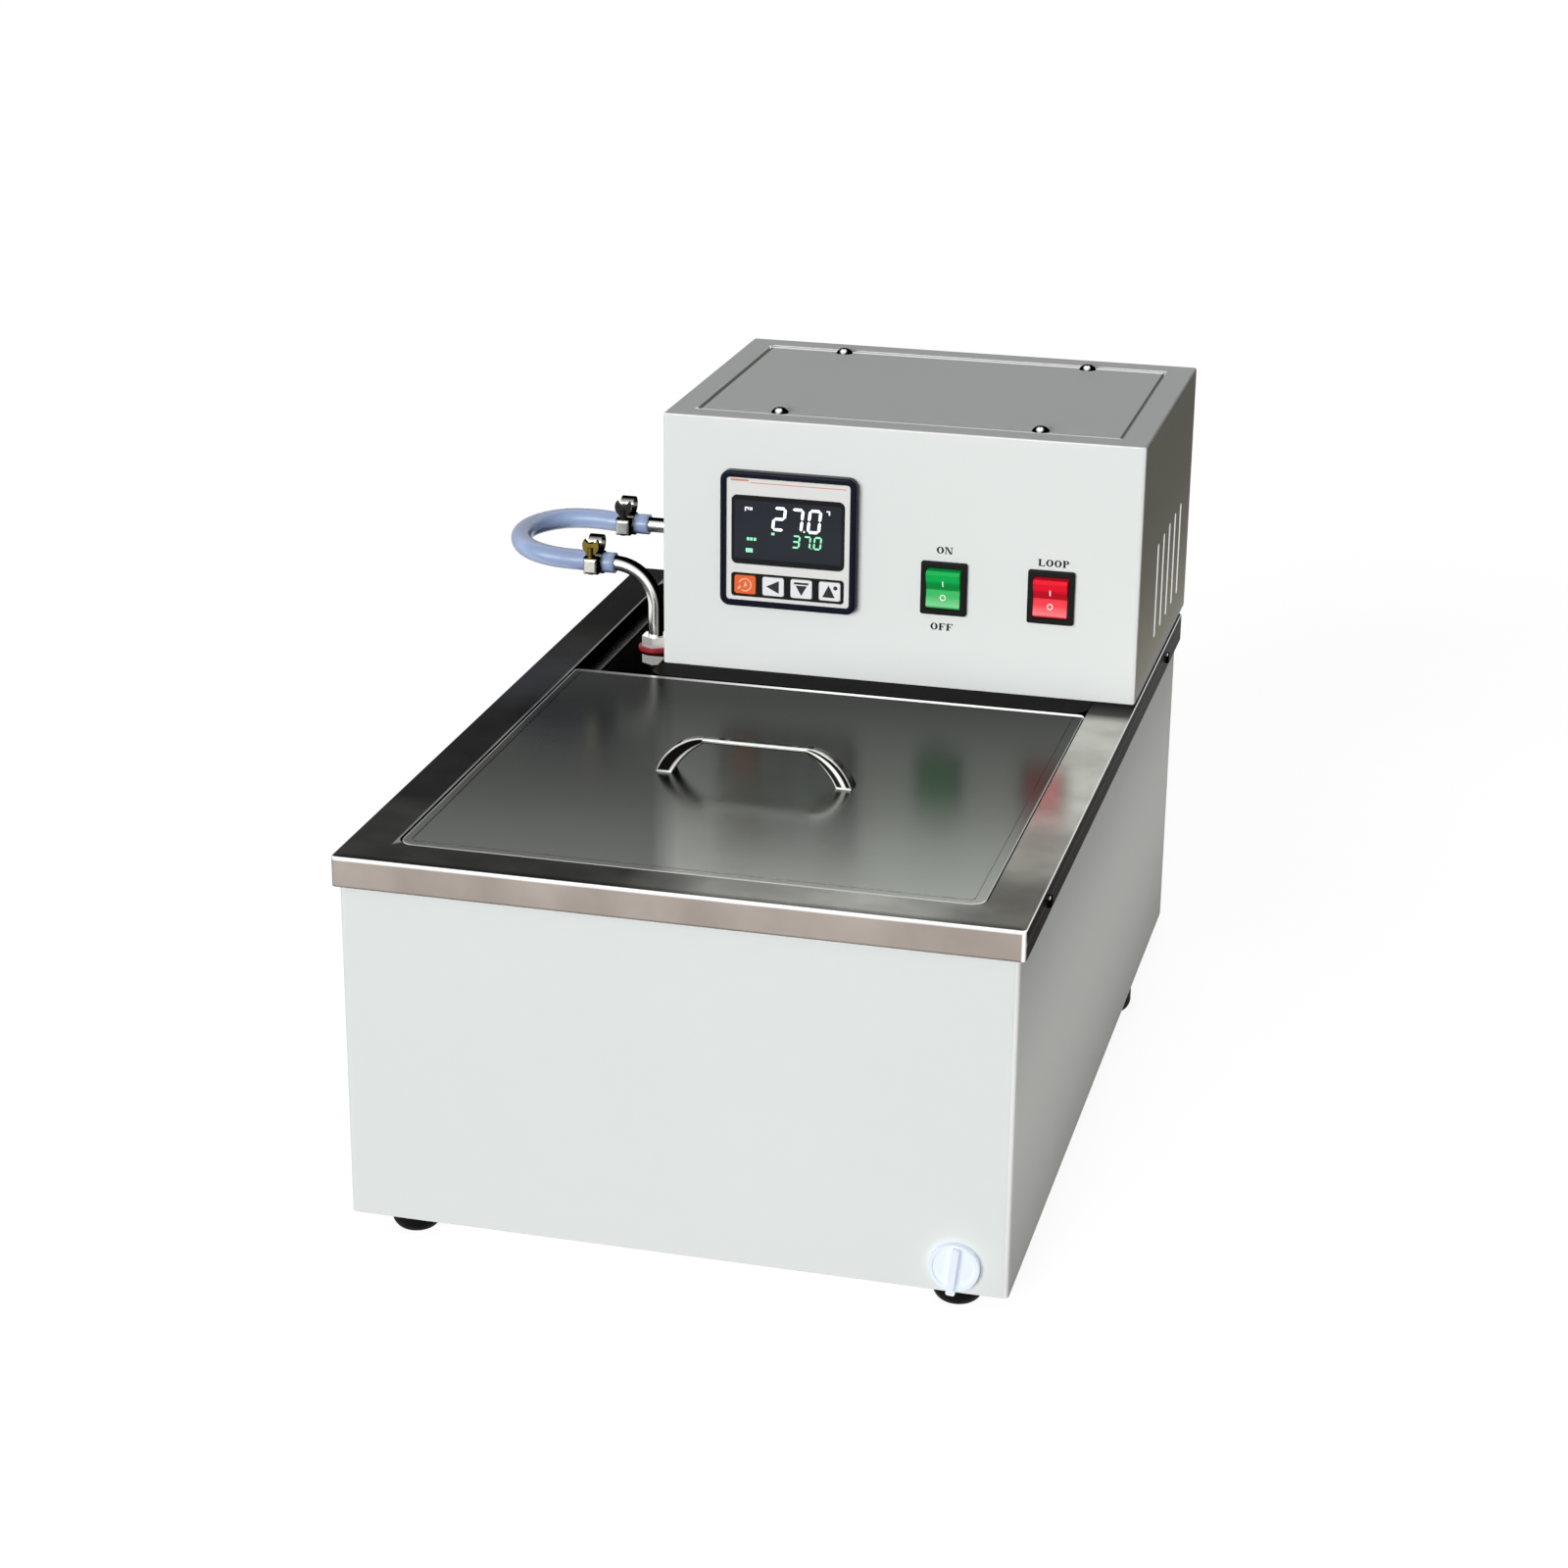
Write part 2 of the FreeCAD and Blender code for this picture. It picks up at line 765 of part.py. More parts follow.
def lid():
    """A folded stainless lid: a flat top with rolled edges turned down on to the ledge."""
    side = half_opening - lid_gap
    front = opening_front + lid_gap
    outer = prism(-side, side, front, lid_rear + opening_corner, ledge_top, rim_top, opening_corner)
    outer = outer.cut(block(-rim_width, rim_width, lid_rear, rim_depth, 0, 2 * rim_top))
    corners = [edge for edge in outer.Edges
               if edge.BoundBox.ZLength > recess_depth / 2 and edge.BoundBox.YMin > lid_rear - 1e-4]
    outer = outer.makeFillet(lid_rear_corner, corners)
    outer = outer.makeFillet(lid_roll, edges_at(outer, rim_top))
    outer = outer.cut(lid_groove(side, front))
    t = lid_sheet
    room = prism(-side + t, side - t, front + t, lid_rear - t, ledge_top, rim_top - t, opening_corner - t)
    holes = [cylinder(place - Z * t * 2, Z, handle_screw_radius + screw_gap, 4 * t)
             for place in handle_feet()]
    return outer.cut(room).cut(Part.makeCompound(holes))


def lid_groove(side, front):
    """The shallow pressed line that runs round the lid inside its edge."""
    low = rim_top - lid_groove_depth
    a = lid_groove_inset
    b = a + lid_groove_width
    outer = prism(-side + a, side - a, front + a, lid_rear - a, low, 2 * rim_top, opening_corner - a)
    inner = prism(-side + b, side - b, front + b, lid_rear - b, low, 2 * rim_top, opening_corner - b)
    return outer.cut(inner)


def handle_feet():
    reach = (handle_length - handle_foot_length) / 2
    return [V(handle_x - reach, handle_y, rim_top), V(handle_x + reach, handle_y, rim_top)]


def arc_points(start, middle, end, count):
    arc = Part.Arc(start, middle, end)
    span = arc.LastParameter - arc.FirstParameter
    return [arc.value(arc.FirstParameter + span * k / (count - 1)) for k in range(count)]


def handle_leg():
    """The right leg: rounded sections from the bar's end to the foot, between two arcs."""
    foot = handle_length / 2
    knee = handle_bar_length / 2
    inner_foot = foot - handle_foot_length
    top = rim_top + handle_height
    def at(x, z):
        return V(handle_x + x, handle_y, z)
    outer_mid = at(foot - (foot - knee) * leg_outer_along, rim_top + handle_height * leg_outer_up)
    inner_mid = at(inner_foot - (inner_foot - knee) * leg_inner_along,
                   rim_top + handle_height * leg_inner_up)
    outer = arc_points(at(knee, top), outer_mid, at(foot, rim_top), leg_sections)
    inner = arc_points(at(knee, top - handle_thickness), inner_mid, at(inner_foot, rim_top), leg_sections)
    wires = []
    for k in range(leg_sections):
        width = handle_bar_width + (handle_foot_width - handle_bar_width) * k / (leg_sections - 1)
        across = outer[k] - inner[k]
        deep = across.Length
        section = rounded_face(inner[k] - Y * width / 2, Y, across / deep, width, deep, handle_round)
        wires.append(section.OuterWire)
    return Part.makeLoft(wires, True, True)


def lid_handle():
    """A plated cast bow handle: a straight bar, stepped in a little between two leaf-shaped legs."""
    step = handle_step
    low = V(handle_x - handle_bar_length / 2 - step, handle_y - handle_bar_width / 2 + step,
            rim_top + handle_height - handle_thickness + step)
    section = rounded_face(low, Y, Z, handle_bar_width - 2 * step, handle_thickness - 2 * step, handle_round)
    bar = section.extrude(X * (handle_bar_length + 2 * step))
    leg = handle_leg()
    body = bar.fuse([leg, leg.mirror(V(handle_x, 0, 0), X)])
    bores = [cylinder(place, Z, handle_screw_radius + screw_gap, handle_screw_depth + screw_gap)
             for place in handle_feet()]
    return body.cut(Part.makeCompound(bores))


def handle_screws():
    """Screws from under the lid into the handle's feet."""
    screws = []
    for place in handle_feet():
        under = place - Z * lid_sheet
        head = cylinder(under - Z * 2 * screw_head_height, Z, 2 * handle_screw_radius, 2 * screw_head_height)
        shank = cylinder(under, Z, handle_screw_radius, lid_sheet + handle_screw_depth)
        screws.append(head.fuse(shank))
    return Part.makeCompound(screws)


# Head

def deck_holes():
    """What passes down from the head into the tank."""
    gap = hole_gap
    low = ledge_top
    high = head_height
    return [cylinder(V(pump_x, pump_y, low), Z, column_radius + gap, high),
            cylinder(V(outlet_x, outlet_y, low), Z, pipe_radius + gap, high),
            cylinder(V(heater_x, heater_front, low), Z, heater_radius + gap, high),
            cylinder(V(heater_x + heater_pitch, heater_front, low), Z, heater_radius + gap, high),
            cylinder(V(probe_x, probe_y, low), Z, probe_radius + gap, high)]


def rear_deck():
    """A folded stainless plate level with the rim under the head, with an ear for the return pipe."""
    right = half_opening - lid_gap
    front = lid_rear + 2 * lid_gap
    rear = opening_rear - lid_gap
    t = deck_sheet
    outer = prism(deck_left, right, front, rear, ledge_top, rim_top, opening_corner)
    room = prism(deck_left + t, right - t, front + t, rear - t, ledge_top, rim_top - t, opening_corner - t)
    ear_end = cylinder(V(return_x, return_y, rim_top - t), Z, ear_radius, t)
    ear = block(return_x, deck_left + t, return_y - ear_radius, return_y + ear_radius, rim_top - t, rim_top)
    hole = cylinder(V(return_x, return_y, ledge_top), Z, pipe_radius + hole_gap, recess_depth)
    return outer.cut(room).fuse([ear, ear_end]).cut(Part.makeCompound(deck_holes() + [hole])).removeSplitter()


def head_base_plate():
    """The head's floor, screwed to its bottom lip, which carries the motor, the heater and the relay."""
    gap = head_sheet + plate_gap
    plate = prism(head_left + gap, head_right - gap, head_front + gap, head_rear - gap,
                  rim_top, base_top, head_corner)
    pump_hole = cylinder(V(pump_x, pump_y, rim_top), Z, shaft_radius + 4 * hole_gap, base_sheet)
    return plate.cut(Part.makeCompound(deck_holes()[1:] + [pump_hole]))


def vent_slots():
    """Upright slots punched in the head's right side."""
    slots = []
    low = rim_top + slot_bottom
    for k in range(slot_count):
        y = head_front + slot_first + k * slot_pitch
        corner = V(head_right - 2 * head_sheet, y - slot_width / 2, low)
        face = rounded_face(corner, Y, Z, slot_width, slot_length, slot_corner)
        slots.append(face.extrude(X * 4 * head_sheet))
    return slots


def vent_screen():
    """A pale dust screen on the inside of the slotted wall."""
    inner = head_right - head_sheet
    length = (slot_count - 1) * slot_pitch + 2 * screen_margin
    low = V(inner - screen_thickness, head_front + slot_first - screen_margin,
            rim_top + slot_bottom - screen_margin)
    height = slot_length + 2 * screen_margin
    return rounded_face(low, Y, Z, length, height, screen_margin / 2).extrude(X * screen_thickness)


def head_housing():
    """The painted sheet box of the head, open below, its top a border with a sunk ledge."""
    t = head_sheet
    outer = prism(head_left, head_right, head_front, head_rear, rim_top, head_top, head_corner)
    outer = outer.makeFillet(head_edge, edges_at(outer, head_top))
    room = prism(head_left + t, head_right - t, head_front + t, head_rear - t,
                 rim_top, head_top - t, head_corner * 0.5)
    lip = head_lip
    low_lip = prism(head_left, head_right, head_front, head_rear, base_top, base_top + t, head_corner)
    low_way = prism(head_left + lip, head_right - lip, head_front + lip, head_rear - lip,
                    base_top, base_top + t, head_corner)
    seat = cover_top - t
    shell = outer.cut(room).fuse(low_lip.cut(low_way)).cut(cover_opening(cover_gap, seat, head_top))
    ledge = cover_opening(2 * t, seat - t, head_top - t).cut(cover_opening(cover_gap, seat, head_top))
    ledge = ledge.cut(cover_opening(-cover_ledge, seat - t, seat))
    shell = shell.fuse(ledge)
    openings = vent_slots() + panel_openings() + rear_openings() + cover_screw_holes()
    openings.append(cylinder(V(head_left - t, outlet_y, outlet_z), X, grommet_radius - grommet_lip, 3 * t))
    return shell.cut(Part.makeCompound(openings)).removeSplitter()


def cover_opening(grow, z0, z1):
    """The top cover's outline, grown by a margin, between two heights."""
    return prism(cover_left - grow, cover_right + grow, cover_front - grow, cover_rear + grow,
                 z0, z1, head_corner)


def panel_openings():
    """Cut-outs in the front panel for the controller and the switches."""
    y0 = head_front - head_sheet
    y1 = head_front + 2 * head_sheet
    gap = cutout_gap
    cuts = [panel(controller_x, controller_z, case_size + gap, case_size + gap, y0, y1, head_corner)]
    for x in (power_switch_x, loop_switch_x):
        cuts.append(panel(x, switch_z, switch_body_width + gap, switch_body_height + gap,
                          y0, y1, head_corner * 0.5))
    return cuts


def rear_openings():
    y0 = head_rear - 2 * head_sheet
    y1 = head_rear + head_sheet
    gap = cutout_gap
    return [panel(inlet_x, inlet_z, inlet_width + gap, inlet_height + gap, y0, y1, head_corner),
            cylinder(V(fuse_x, y0, inlet_z), Y, fuse_radius + gap, y1 - y0)]


def cover_screw_places():
    xs = (cover_left + cover_screw_inset_x, cover_right - cover_screw_inset_x)
    ys = (cover_front + cover_screw_inset_y, cover_rear - cover_screw_inset_y)
    return [V(x, y, cover_top) for x in xs for y in ys]


def cover_screw_holes():
    return [cylinder(place - Z * 4 * head_sheet, Z, cover_screw_radius + screw_gap, 5 * head_sheet)
            for place in cover_screw_places()]


def head_top_cover():
    """The flat service cover, a little below the border round it."""
    plate = cover_opening(0, cover_top - head_sheet, cover_top)
    return plate.cut(Part.makeCompound(cover_screw_holes()))


def cover_screws():
    """Domed cross-head screws through the cover into the ledge."""
    screws = []
    r = cover_screw_head
    h = cover_screw_dome
    for place in cover_screw_places():
        sphere_radius = (r * r + h * h) / (2 * h)
        ball = Part.makeSphere(sphere_radius, place + Z * (h - sphere_radius))
        head = ball.common(cylinder(place, Z, r, h))
        for wide, deep in ((r, cover_screw_cross / 2), (cover_screw_cross / 2, r)):
            cross = block(place.x - wide / 2, place.x + wide / 2, place.y - deep / 2, place.y + deep / 2,
                          place.z + h - cover_screw_cross_depth, place.z + h)
            head = head.cut(cross)
        shank = cylinder(place - Z * 3 * head_sheet, Z, cover_screw_radius, 3 * head_sheet)
        screws.append(head.fuse(shank))
    return Part.makeCompound(screws)


# Temperature controller

def controller_case():
    """The controller's case: a bezel proud of the panel, and a hollow box behind its cut-out."""
    size = controller_size
    front = head_front - controller_proud
    bezel = panel(controller_x, controller_z, size, size, front, head_front, controller_corner)
    front_edges = [edge for edge in bezel.Edges if edge.BoundBox.YMax < front + 1e-4]
    bezel = bezel.makeFillet(controller_edge, front_edges)
    body = panel(controller_x, controller_z, case_size, case_size,
                 head_front, head_front + case_depth, head_corner)
    pocket_size = size - 2 * controller_border
    pocket = panel(controller_x, controller_z, pocket_size, pocket_size, front, fascia_back, head_corner)
    inner = pocket_size - 2 * case_wall
    hollow = panel(controller_x, controller_z, inner, inner,
                   fascia_back, head_front + case_depth - case_wall, head_corner)
    return bezel.fuse(body).cut(pocket).cut(hollow).removeSplitter()


def controller_fascia():
    """The controller's light front plate, cut out for the display and the row of keys."""
    size = controller_size - 2 * controller_border - 2 * fascia_gap
    plate = panel(controller_x, controller_z, size, size, fascia_front, fascia_back, head_corner)
    window = panel(controller_x, window_z, window_width, window_height,
                   fascia_front, fascia_back, window_corner)
    strip = panel(controller_x, strip_z, strip_width, strip_height, fascia_front, fascia_back, strip_corner)
    return plate.cut(window).cut(strip)


def display_window():
    """The dark display window, flush with the back of the fascia's cut-out."""
    gap = 2 * fascia_gap
    back = fascia_back
    return panel(controller_x, window_z, window_width - gap, window_height - gap,
                 back - window_thickness, back, window_corner - fascia_gap)


def key_places():
    names = ("run_key", "shift_key", "down_key", "up_key")
    middle = (key_count - 1) / 2
    return {name: controller_x + (k - middle) * key_pitch for k, name in enumerate(names)}


def key_bezel():
    """The dark strip round the keys, with one opening for each."""
    gap = 2 * fascia_gap
    strip = panel(controller_x, strip_z, strip_width - gap, strip_height - gap,
                  fascia_back - strip_thickness, fascia_back, strip_corner - fascia_gap)
    for x in key_places().values():
        hole = panel(x, strip_z, key_width + 2 * key_gap, key_height + 2 * key_gap,
                     fascia_front, fascia_back, key_corner)
        strip = strip.cut(hole)
    return strip


def controller_key(x):
    """One moulded key: a rounded cap through the strip, and a flange that it can't fall out past."""
    front = fascia_back - strip_thickness - key_proud
    flange_front = fascia_back + key_gap
    cap = panel(x, strip_z, key_width, key_height, front, flange_front, key_corner)
    crown = [edge for edge in cap.Edges if edge.BoundBox.YMax < front + 1e-4]
    cap = cap.makeFillet(key_edge, crown)
    flange = panel(x, strip_z, key_width + 2 * key_flange, key_height + 2 * key_flange,
                   flange_front, flange_front + key_flange_thickness, key_corner)
    return cap.fuse(flange)


def key_pad():
    """The rubber pad behind the keys, which springs them back, held at its edge by the case."""
    front = fascia_back + 2 * key_gap + key_flange_thickness + key_travel
    size = controller_size - 2 * controller_border - 2 * case_wall
    low = controller_z - size / 2
    high = strip_z + strip_height / 2
    return panel(controller_x, (low + high) / 2, size, high - low, front, front + pad_thickness, head_corner)


# Rocker switches

def switch_body(x):
    """A switch's black frame: a bezel on the panel and a box behind it, with a well for the rocker."""
    bezel = panel(x, switch_z, switch_width, switch_height,
                  head_front - switch_proud, head_front, switch_corner)
    front_edges = [edge for edge in bezel.Edges if edge.BoundBox.YMax < head_front - switch_proud + 1e-4]
    bezel = bezel.makeFillet(switch_edge, front_edges)
    body = panel(x, switch_z, switch_body_width, switch_body_height,
                 head_front, head_front + switch_body_depth, switch_corner)
    well = panel(x, switch_z, rocker_width + 2 * rocker_gap, rocker_height + 4 * rocker_gap,
                 head_front - switch_proud, head_front + rocker_well, switch_corner * 0.5)
    pivot = cylinder(V(x - rocker_width / 2 - rocker_pin_length - rocker_gap, rocker_pivot_y(), switch_z), X,
                     rocker_pin_radius + pin_clearance, rocker_width + 2 * rocker_pin_length + 2 * rocker_gap)
    back = head_front + switch_body_depth
    half = blade_thickness / 2
    blades = [block(x - blade_width / 2, x + blade_width / 2, back, back + blade_length,
                    switch_z + dz - half, switch_z + dz + half)
              for dz in (-switch_body_height / 3, 0, switch_body_height / 3)]
    return bezel.fuse(body).cut(well).cut(pivot).fuse(blades).removeSplitter()


def rocker_pivot_y():
    return head_front + rocker_pivot_depth


def rocker(x):
    """A lit rocker with a shallow V face and a rounded belly, tipped with its lower end pressed in."""
    half = rocker_height / 2
    tip = head_front - rocker_proud
    dip = tip + rocker_dip
    belly = head_front + rocker_belly
    left = x - rocker_width / 2
    def at(y, z):
        return V(left, y, switch_z + z)
    bevel = rocker_bevel
    shoulder = head_front + rocker_pivot_depth
    edges = [
        Part.makeLine(at(tip, half - bevel), at(dip, 0)),
        Part.makeLine(at(dip, 0), at(tip, -half + bevel)),
        Part.makeLine(at(tip, -half + bevel), at(tip + bevel, -half)),
        Part.makeLine(at(tip + bevel, -half), at(shoulder, -half)),
        Part.Arc(at(shoulder, -half), at(belly, 0), at(shoulder, half)).toShape(),
        Part.makeLine(at(shoulder, half), at(tip + bevel, half)),
        Part.makeLine(at(tip + bevel, half), at(tip, half - bevel)),
    ]
    body = Part.Face(Part.Wire(edges)).extrude(X * rocker_width)
    pins = cylinder(V(left - rocker_pin_length, rocker_pivot_y(), switch_z), X,
                    rocker_pin_radius, rocker_width + 2 * rocker_pin_length)
    whole = body.fuse(pins)
    whole.rotate(V(x, rocker_pivot_y(), switch_z), X, rocker_tilt)
    return whole


# Pump

def pump_motor():
    """A skeleton motor: a flange on the base plate, a can and a bearing boss, bored for the shaft."""
    centre = V(pump_x, pump_y, base_top)
    flange = cylinder(centre, Z, motor_flange_radius, motor_flange)
    can = cylinder(centre + Z * motor_flange, Z, motor_radius, motor_height)
    can = can.makeFillet(4.0, [edge for edge in can.Edges if edge.BoundBox.ZMin > motor_top - 1e-4])
    boss = cylinder(V(pump_x, pump_y, motor_top), Z, fan_hub, fan_lift / 2)
    bore = cylinder(centre, Z, shaft_radius + shaft_clearance, head_height)
    return flange.fuse([can, boss]).cut(bore)


def pump_shaft():
    """The stainless shaft from the motor down to the impeller."""
    low = pump_bottom + volute_wall + impeller_gap
    return cylinder(V(pump_x, pump_y, low), Z, shaft_radius, motor_top + shaft_top_length - low)


def motor_fan():
    """A plastic cooling fan on the shaft's upper end."""
    z0 = motor_top + fan_lift
    hub = ring(V(pump_x, pump_y, z0), Z, fan_hub, shaft_radius, fan_height)
    tall = fan_height - fan_blade / 2
    blade = Part.makeBox(fan_radius - fan_hub + 1, fan_blade, tall, V(fan_hub - 1, -fan_blade / 2, 0))
    blade.rotate(V(0, 0, tall / 2), X, fan_pitch)
    low = blade.BoundBox.ZMin
    blades = []
    for k in range(fan_blades):
        one = blade.copy()
        one.rotate(V(0, 0, 0), Z, 360 * k / fan_blades)
        one.translate(V(pump_x, pump_y, z0 - low))
        blades.append(one)
    return hub.fuse(blades)


def impeller_base():
    return pump_bottom + volute_wall + impeller_gap + impeller_vane_height


def impeller_vane_shape():
    """One vane, swept back along an arc from the hub to the edge of the disc."""
    r0 = impeller_hub - 0.5
    r1 = impeller_radius - 0.4
    def at(radius, degrees):
        angle = math.radians(degrees)
        return V(radius * math.cos(angle), radius * math.sin(angle), 0)
    lag = math.degrees(impeller_vane / r1)
    middle = (r0 + r1) / 2
    outer = Part.Arc(at(r0, 0), at(middle, vane_middle), at(r1, vane_sweep)).toShape()
    back = at(middle, vane_middle - impeller_vane * lag)
    inner = Part.Arc(at(r0, -vane_middle), back, at(r1, vane_sweep - lag)).toShape()
    tip = Part.makeLine(at(r1, vane_sweep), at(r1, vane_sweep - lag))
    root = Part.makeLine(at(r0, 0), at(r0, -vane_middle))
    return Part.Face(Part.Wire([outer, tip, inner, root])).extrude(Z * (impeller_vane_height + 0.5))


def impeller():
    """A disc with swept vanes underneath and a hub on the shaft."""
    z0 = impeller_base()
    centre = V(pump_x, pump_y, 0)
    low = z0 - impeller_vane_height
    disc = ring(centre + Z * z0, Z, impeller_radius, shaft_radius, impeller_disc)
    hub = ring(centre + Z * low, Z, impeller_hub, shaft_radius, impeller_vane_height)
    vane = impeller_vane_shape()
    vanes = []
    for k in range(impeller_vanes):
        one = vane.copy()
        one.rotate(V(0, 0, 0), Z, 360 * k / impeller_vanes)
        one.translate(centre + Z * low)
        vanes.append(one)
    return disc.fuse([hub] + vanes)


def volute_face(shrink):
    """A spiral outline of four quarter arcs, each larger by one step, closed by a straight throat.
    The flow leaves along -x at the front, so the arcs grow clockwise seen from above."""
    step = volute_step
    radius = volute_start - shrink
    centre = V(pump_x, pump_y, 0)
    quarter = 90.0
    edges = []
    first = None
    for k in range(4):
        start = -quarter * (k + 1)
        def at(degrees):
            angle = math.radians(degrees)
            return centre + V(radius * math.cos(angle), radius * math.sin(angle), 0)
        if first is None:
            first = at(start)
        edges.append(Part.Arc(at(start), at(start - quarter / 2), at(start - quarter)).toShape())
        end = at(start - quarter)
        inward = (centre - end).normalize()
        centre = end + inward * (radius + step)
        radius = radius + step
    edges.append(Part.makeLine(end, first))
    return Part.Face(Part.Wire(edges))


def pump_housing():
    """The volute: a spiral chamber with an eye below, a collar for the column and a discharge boss."""
    height = pump_top - pump_bottom
    outer = volute_face(-volute_wall)
    outer.translate(Z * pump_bottom)
    inner = volute_face(0)
    inner.translate(Z * (pump_bottom + volute_wall))
    body = outer.extrude(Z * height)
    boss_z = (pump_bottom + pump_top) / 2
    boss_end = pump_x - volute_start - discharge_steps * volute_step - discharge_radius
    boss = cylinder(V(pump_x, outlet_y, boss_z), X * -1, discharge_radius, pump_x - boss_end)
    body = body.fuse(boss).cut(inner.extrude(Z * (height - 2 * volute_wall)))
    bore = cylinder(V(pump_x, outlet_y, boss_z), X * -1, pipe_radius, pump_x - boss_end)
    eye = cylinder(V(pump_x, pump_y, pump_bottom), Z, volute_eye, volute_wall)
    top_hole = cylinder(V(pump_x, pump_y, pump_top - volute_wall), Z, shaft_radius + hole_gap, volute_wall)
    return body.cut(bore).cut(eye).cut(top_hole).removeSplitter()


def pump_column():
    """The tube that hangs the pump from the head's floor, slotted so that water drains from it."""
    tube_wall = ring(V(pump_x, pump_y, pump_top), Z, column_radius, column_bore, rim_top - pump_top)
    low = ledge_top - 2 * column_slot_height
    half = column_slot_width / 2
    slot = block(pump_x - half, pump_x + half, pump_y - 2 * column_radius, pump_y + 2 * column_radius,
                 low, low + column_slot_height)
    return tube_wall.cut(slot)


def shaft_bush():
    """A plain plastic bearing in the lower end of the column."""
    return ring(V(pump_x, pump_y, pump_top), Z, column_bore, shaft_radius + shaft_clearance, bush_length)


# Pipes, union, hose and clamps

def outlet_pipe():
    """The pump's delivery pipe: along to the left, up into the head and out through its left wall."""
    z = (pump_bottom + pump_top) / 2
    start = pump_x - volute_start - discharge_from * volute_step
    end = outlet_clamp_x - pipe_past_clamp
    points = [V(start, outlet_y, z), V(outlet_x, outlet_y, z),
              V(outlet_x, outlet_y, outlet_z), V(end, outlet_y, outlet_z)]
    return tube(points, [pipe_bend, pipe_bend], pipe_radius, pipe_radius - pipe_wall)


def outlet_grommet():
    """The rubber grommet that seats the delivery pipe in the head's left wall."""
    place = V(head_left - grommet_lip, outlet_y, outlet_z)
    length = head_sheet + 2 * grommet_lip
    body = ring(place, X, grommet_radius, pipe_radius, length)
    groove = ring(V(head_left, outlet_y, outlet_z), X, grommet_radius + 1,
                  grommet_radius - grommet_lip - screw_gap, head_sheet)
    return body.cut(groove)


def return_pipe():
    """The return pipe: from the hose over a wide bend and down through the deck's ear into the tank."""
    start = return_clamp_x - pipe_past_clamp
    points = [V(start, return_y, return_z), V(return_x, return_y, return_z),
              V(return_x, return_y, ledge_top - return_tail)]
    return tube(points, [return_bend], pipe_radius, pipe_radius - pipe_wall)


def union_nuts():
    """The bulkhead union's two nuts, one on the seal and one under the ear."""
    centre = V(return_x, return_y, 0)
    upper = rim_top + seal_thickness
    lower = rim_top - deck_sheet
    bore = cylinder(V(return_x, return_y, lower - nut_height), Z, pipe_radius,
                    upper + 2 * nut_height - lower)
    return Part.makeCompound([hexagon(centre, nut_flats, upper, upper + nut_height).cut(bore),
                              hexagon(centre, nut_flats, lower - nut_height, lower).cut(bore)])


def seal_ring():
    """The red silicone seal between the upper nut and the ear."""
    body = ring(V(return_x, return_y, rim_top), Z, seal_radius, pipe_radius, seal_thickness)
    outside = [edge for edge in body.Edges
               if edge.BoundBox.XLength > 2 * seal_radius - 0.1 and edge.BoundBox.ZLength < 1e-6]
    return body.makeFillet(seal_round, outside)


def hose_radii():
    """At each inner point, a share of the shorter run over the tangent of half the turn."""
    radii = []
    for i in range(1, len(hose_route) - 1):
        back = hose_route[i - 1] - hose_route[i]
        ahead = hose_route[i + 1] - hose_route[i]
        half_turn = (math.pi - back.getAngle(ahead)) / 2
        radii.append(hose_bend_share * min(back.Length, ahead.Length) / math.tan(half_turn))
    return radii


def circulation_hose():
    """The soft hose looped from the outlet to the return: a plain tube along its route."""
    radii = hose_radii()
    hose = tube(hose_route, radii, hose_radius, hose_bore)
    length = bent_wire(hose_route, radii).Length
    section = math.pi * (hose_radius ** 2 - hose_bore ** 2)
    print("hose radii", [round(r, 1) for r in radii])
    print("hose length", round(length, 1), "volume over section times length",
          round(hose.Volume / (section * length), 4))
    return hose


def clamp_places():
    return {"outlet": V(outlet_clamp_x, outlet_y, outlet_z),
            "return": V(return_clamp_x, return_y, return_z)}


def clamp_band_shape(place):
    """A worm-drive hose clamp's band, with the screw's housing on its front and the spare end on top."""
    half = clamp_width / 2
    outer = hose_radius + clamp_band
    band = ring(place - X * half, X, outer, hose_radius, clamp_width)
    depth = clamp_housing_depth
    housing_y = place.y - outer
    high = clamp_housing_height / 2
    wide = clamp_housing_width / 2
    housing = block(place.x - wide, place.x + wide, housing_y - depth + clamp_band, housing_y + clamp_band,
                    place.z - high, place.z + high)
    housing_front = housing_y - depth + clamp_band
    front_edges = [edge for edge in housing.Edges if edge.BoundBox.YMax < housing_front + 1e-4]
    housing = housing.makeFillet(clamp_housing_round, front_edges)
    housing = housing.cut(cylinder(place - X * half, X, hose_radius, clamp_width))
    bore = cylinder(V(place.x, housing_y - depth / 2 + clamp_band / 2, place.z - high), Z,
                    clamp_screw_radius, 2 * high)
    tail_centre = place + V(0, clamp_tail_back, outer + clamp_tail_radius - clamp_band)
    tail = ring(tail_centre - X * clamp_tail_width / 2, X, clamp_tail_radius,
                clamp_tail_radius - clamp_band, clamp_tail_width)
    gap = block(place.x - clamp_width, place.x + clamp_width, tail_centre.y - 2 * clamp_tail_radius,
                tail_centre.y, tail_centre.z - clamp_tail_radius / 2, tail_centre.z + clamp_band)
    return band.fuse([housing, tail.cut(gap)]).cut(bore).removeSplitter()


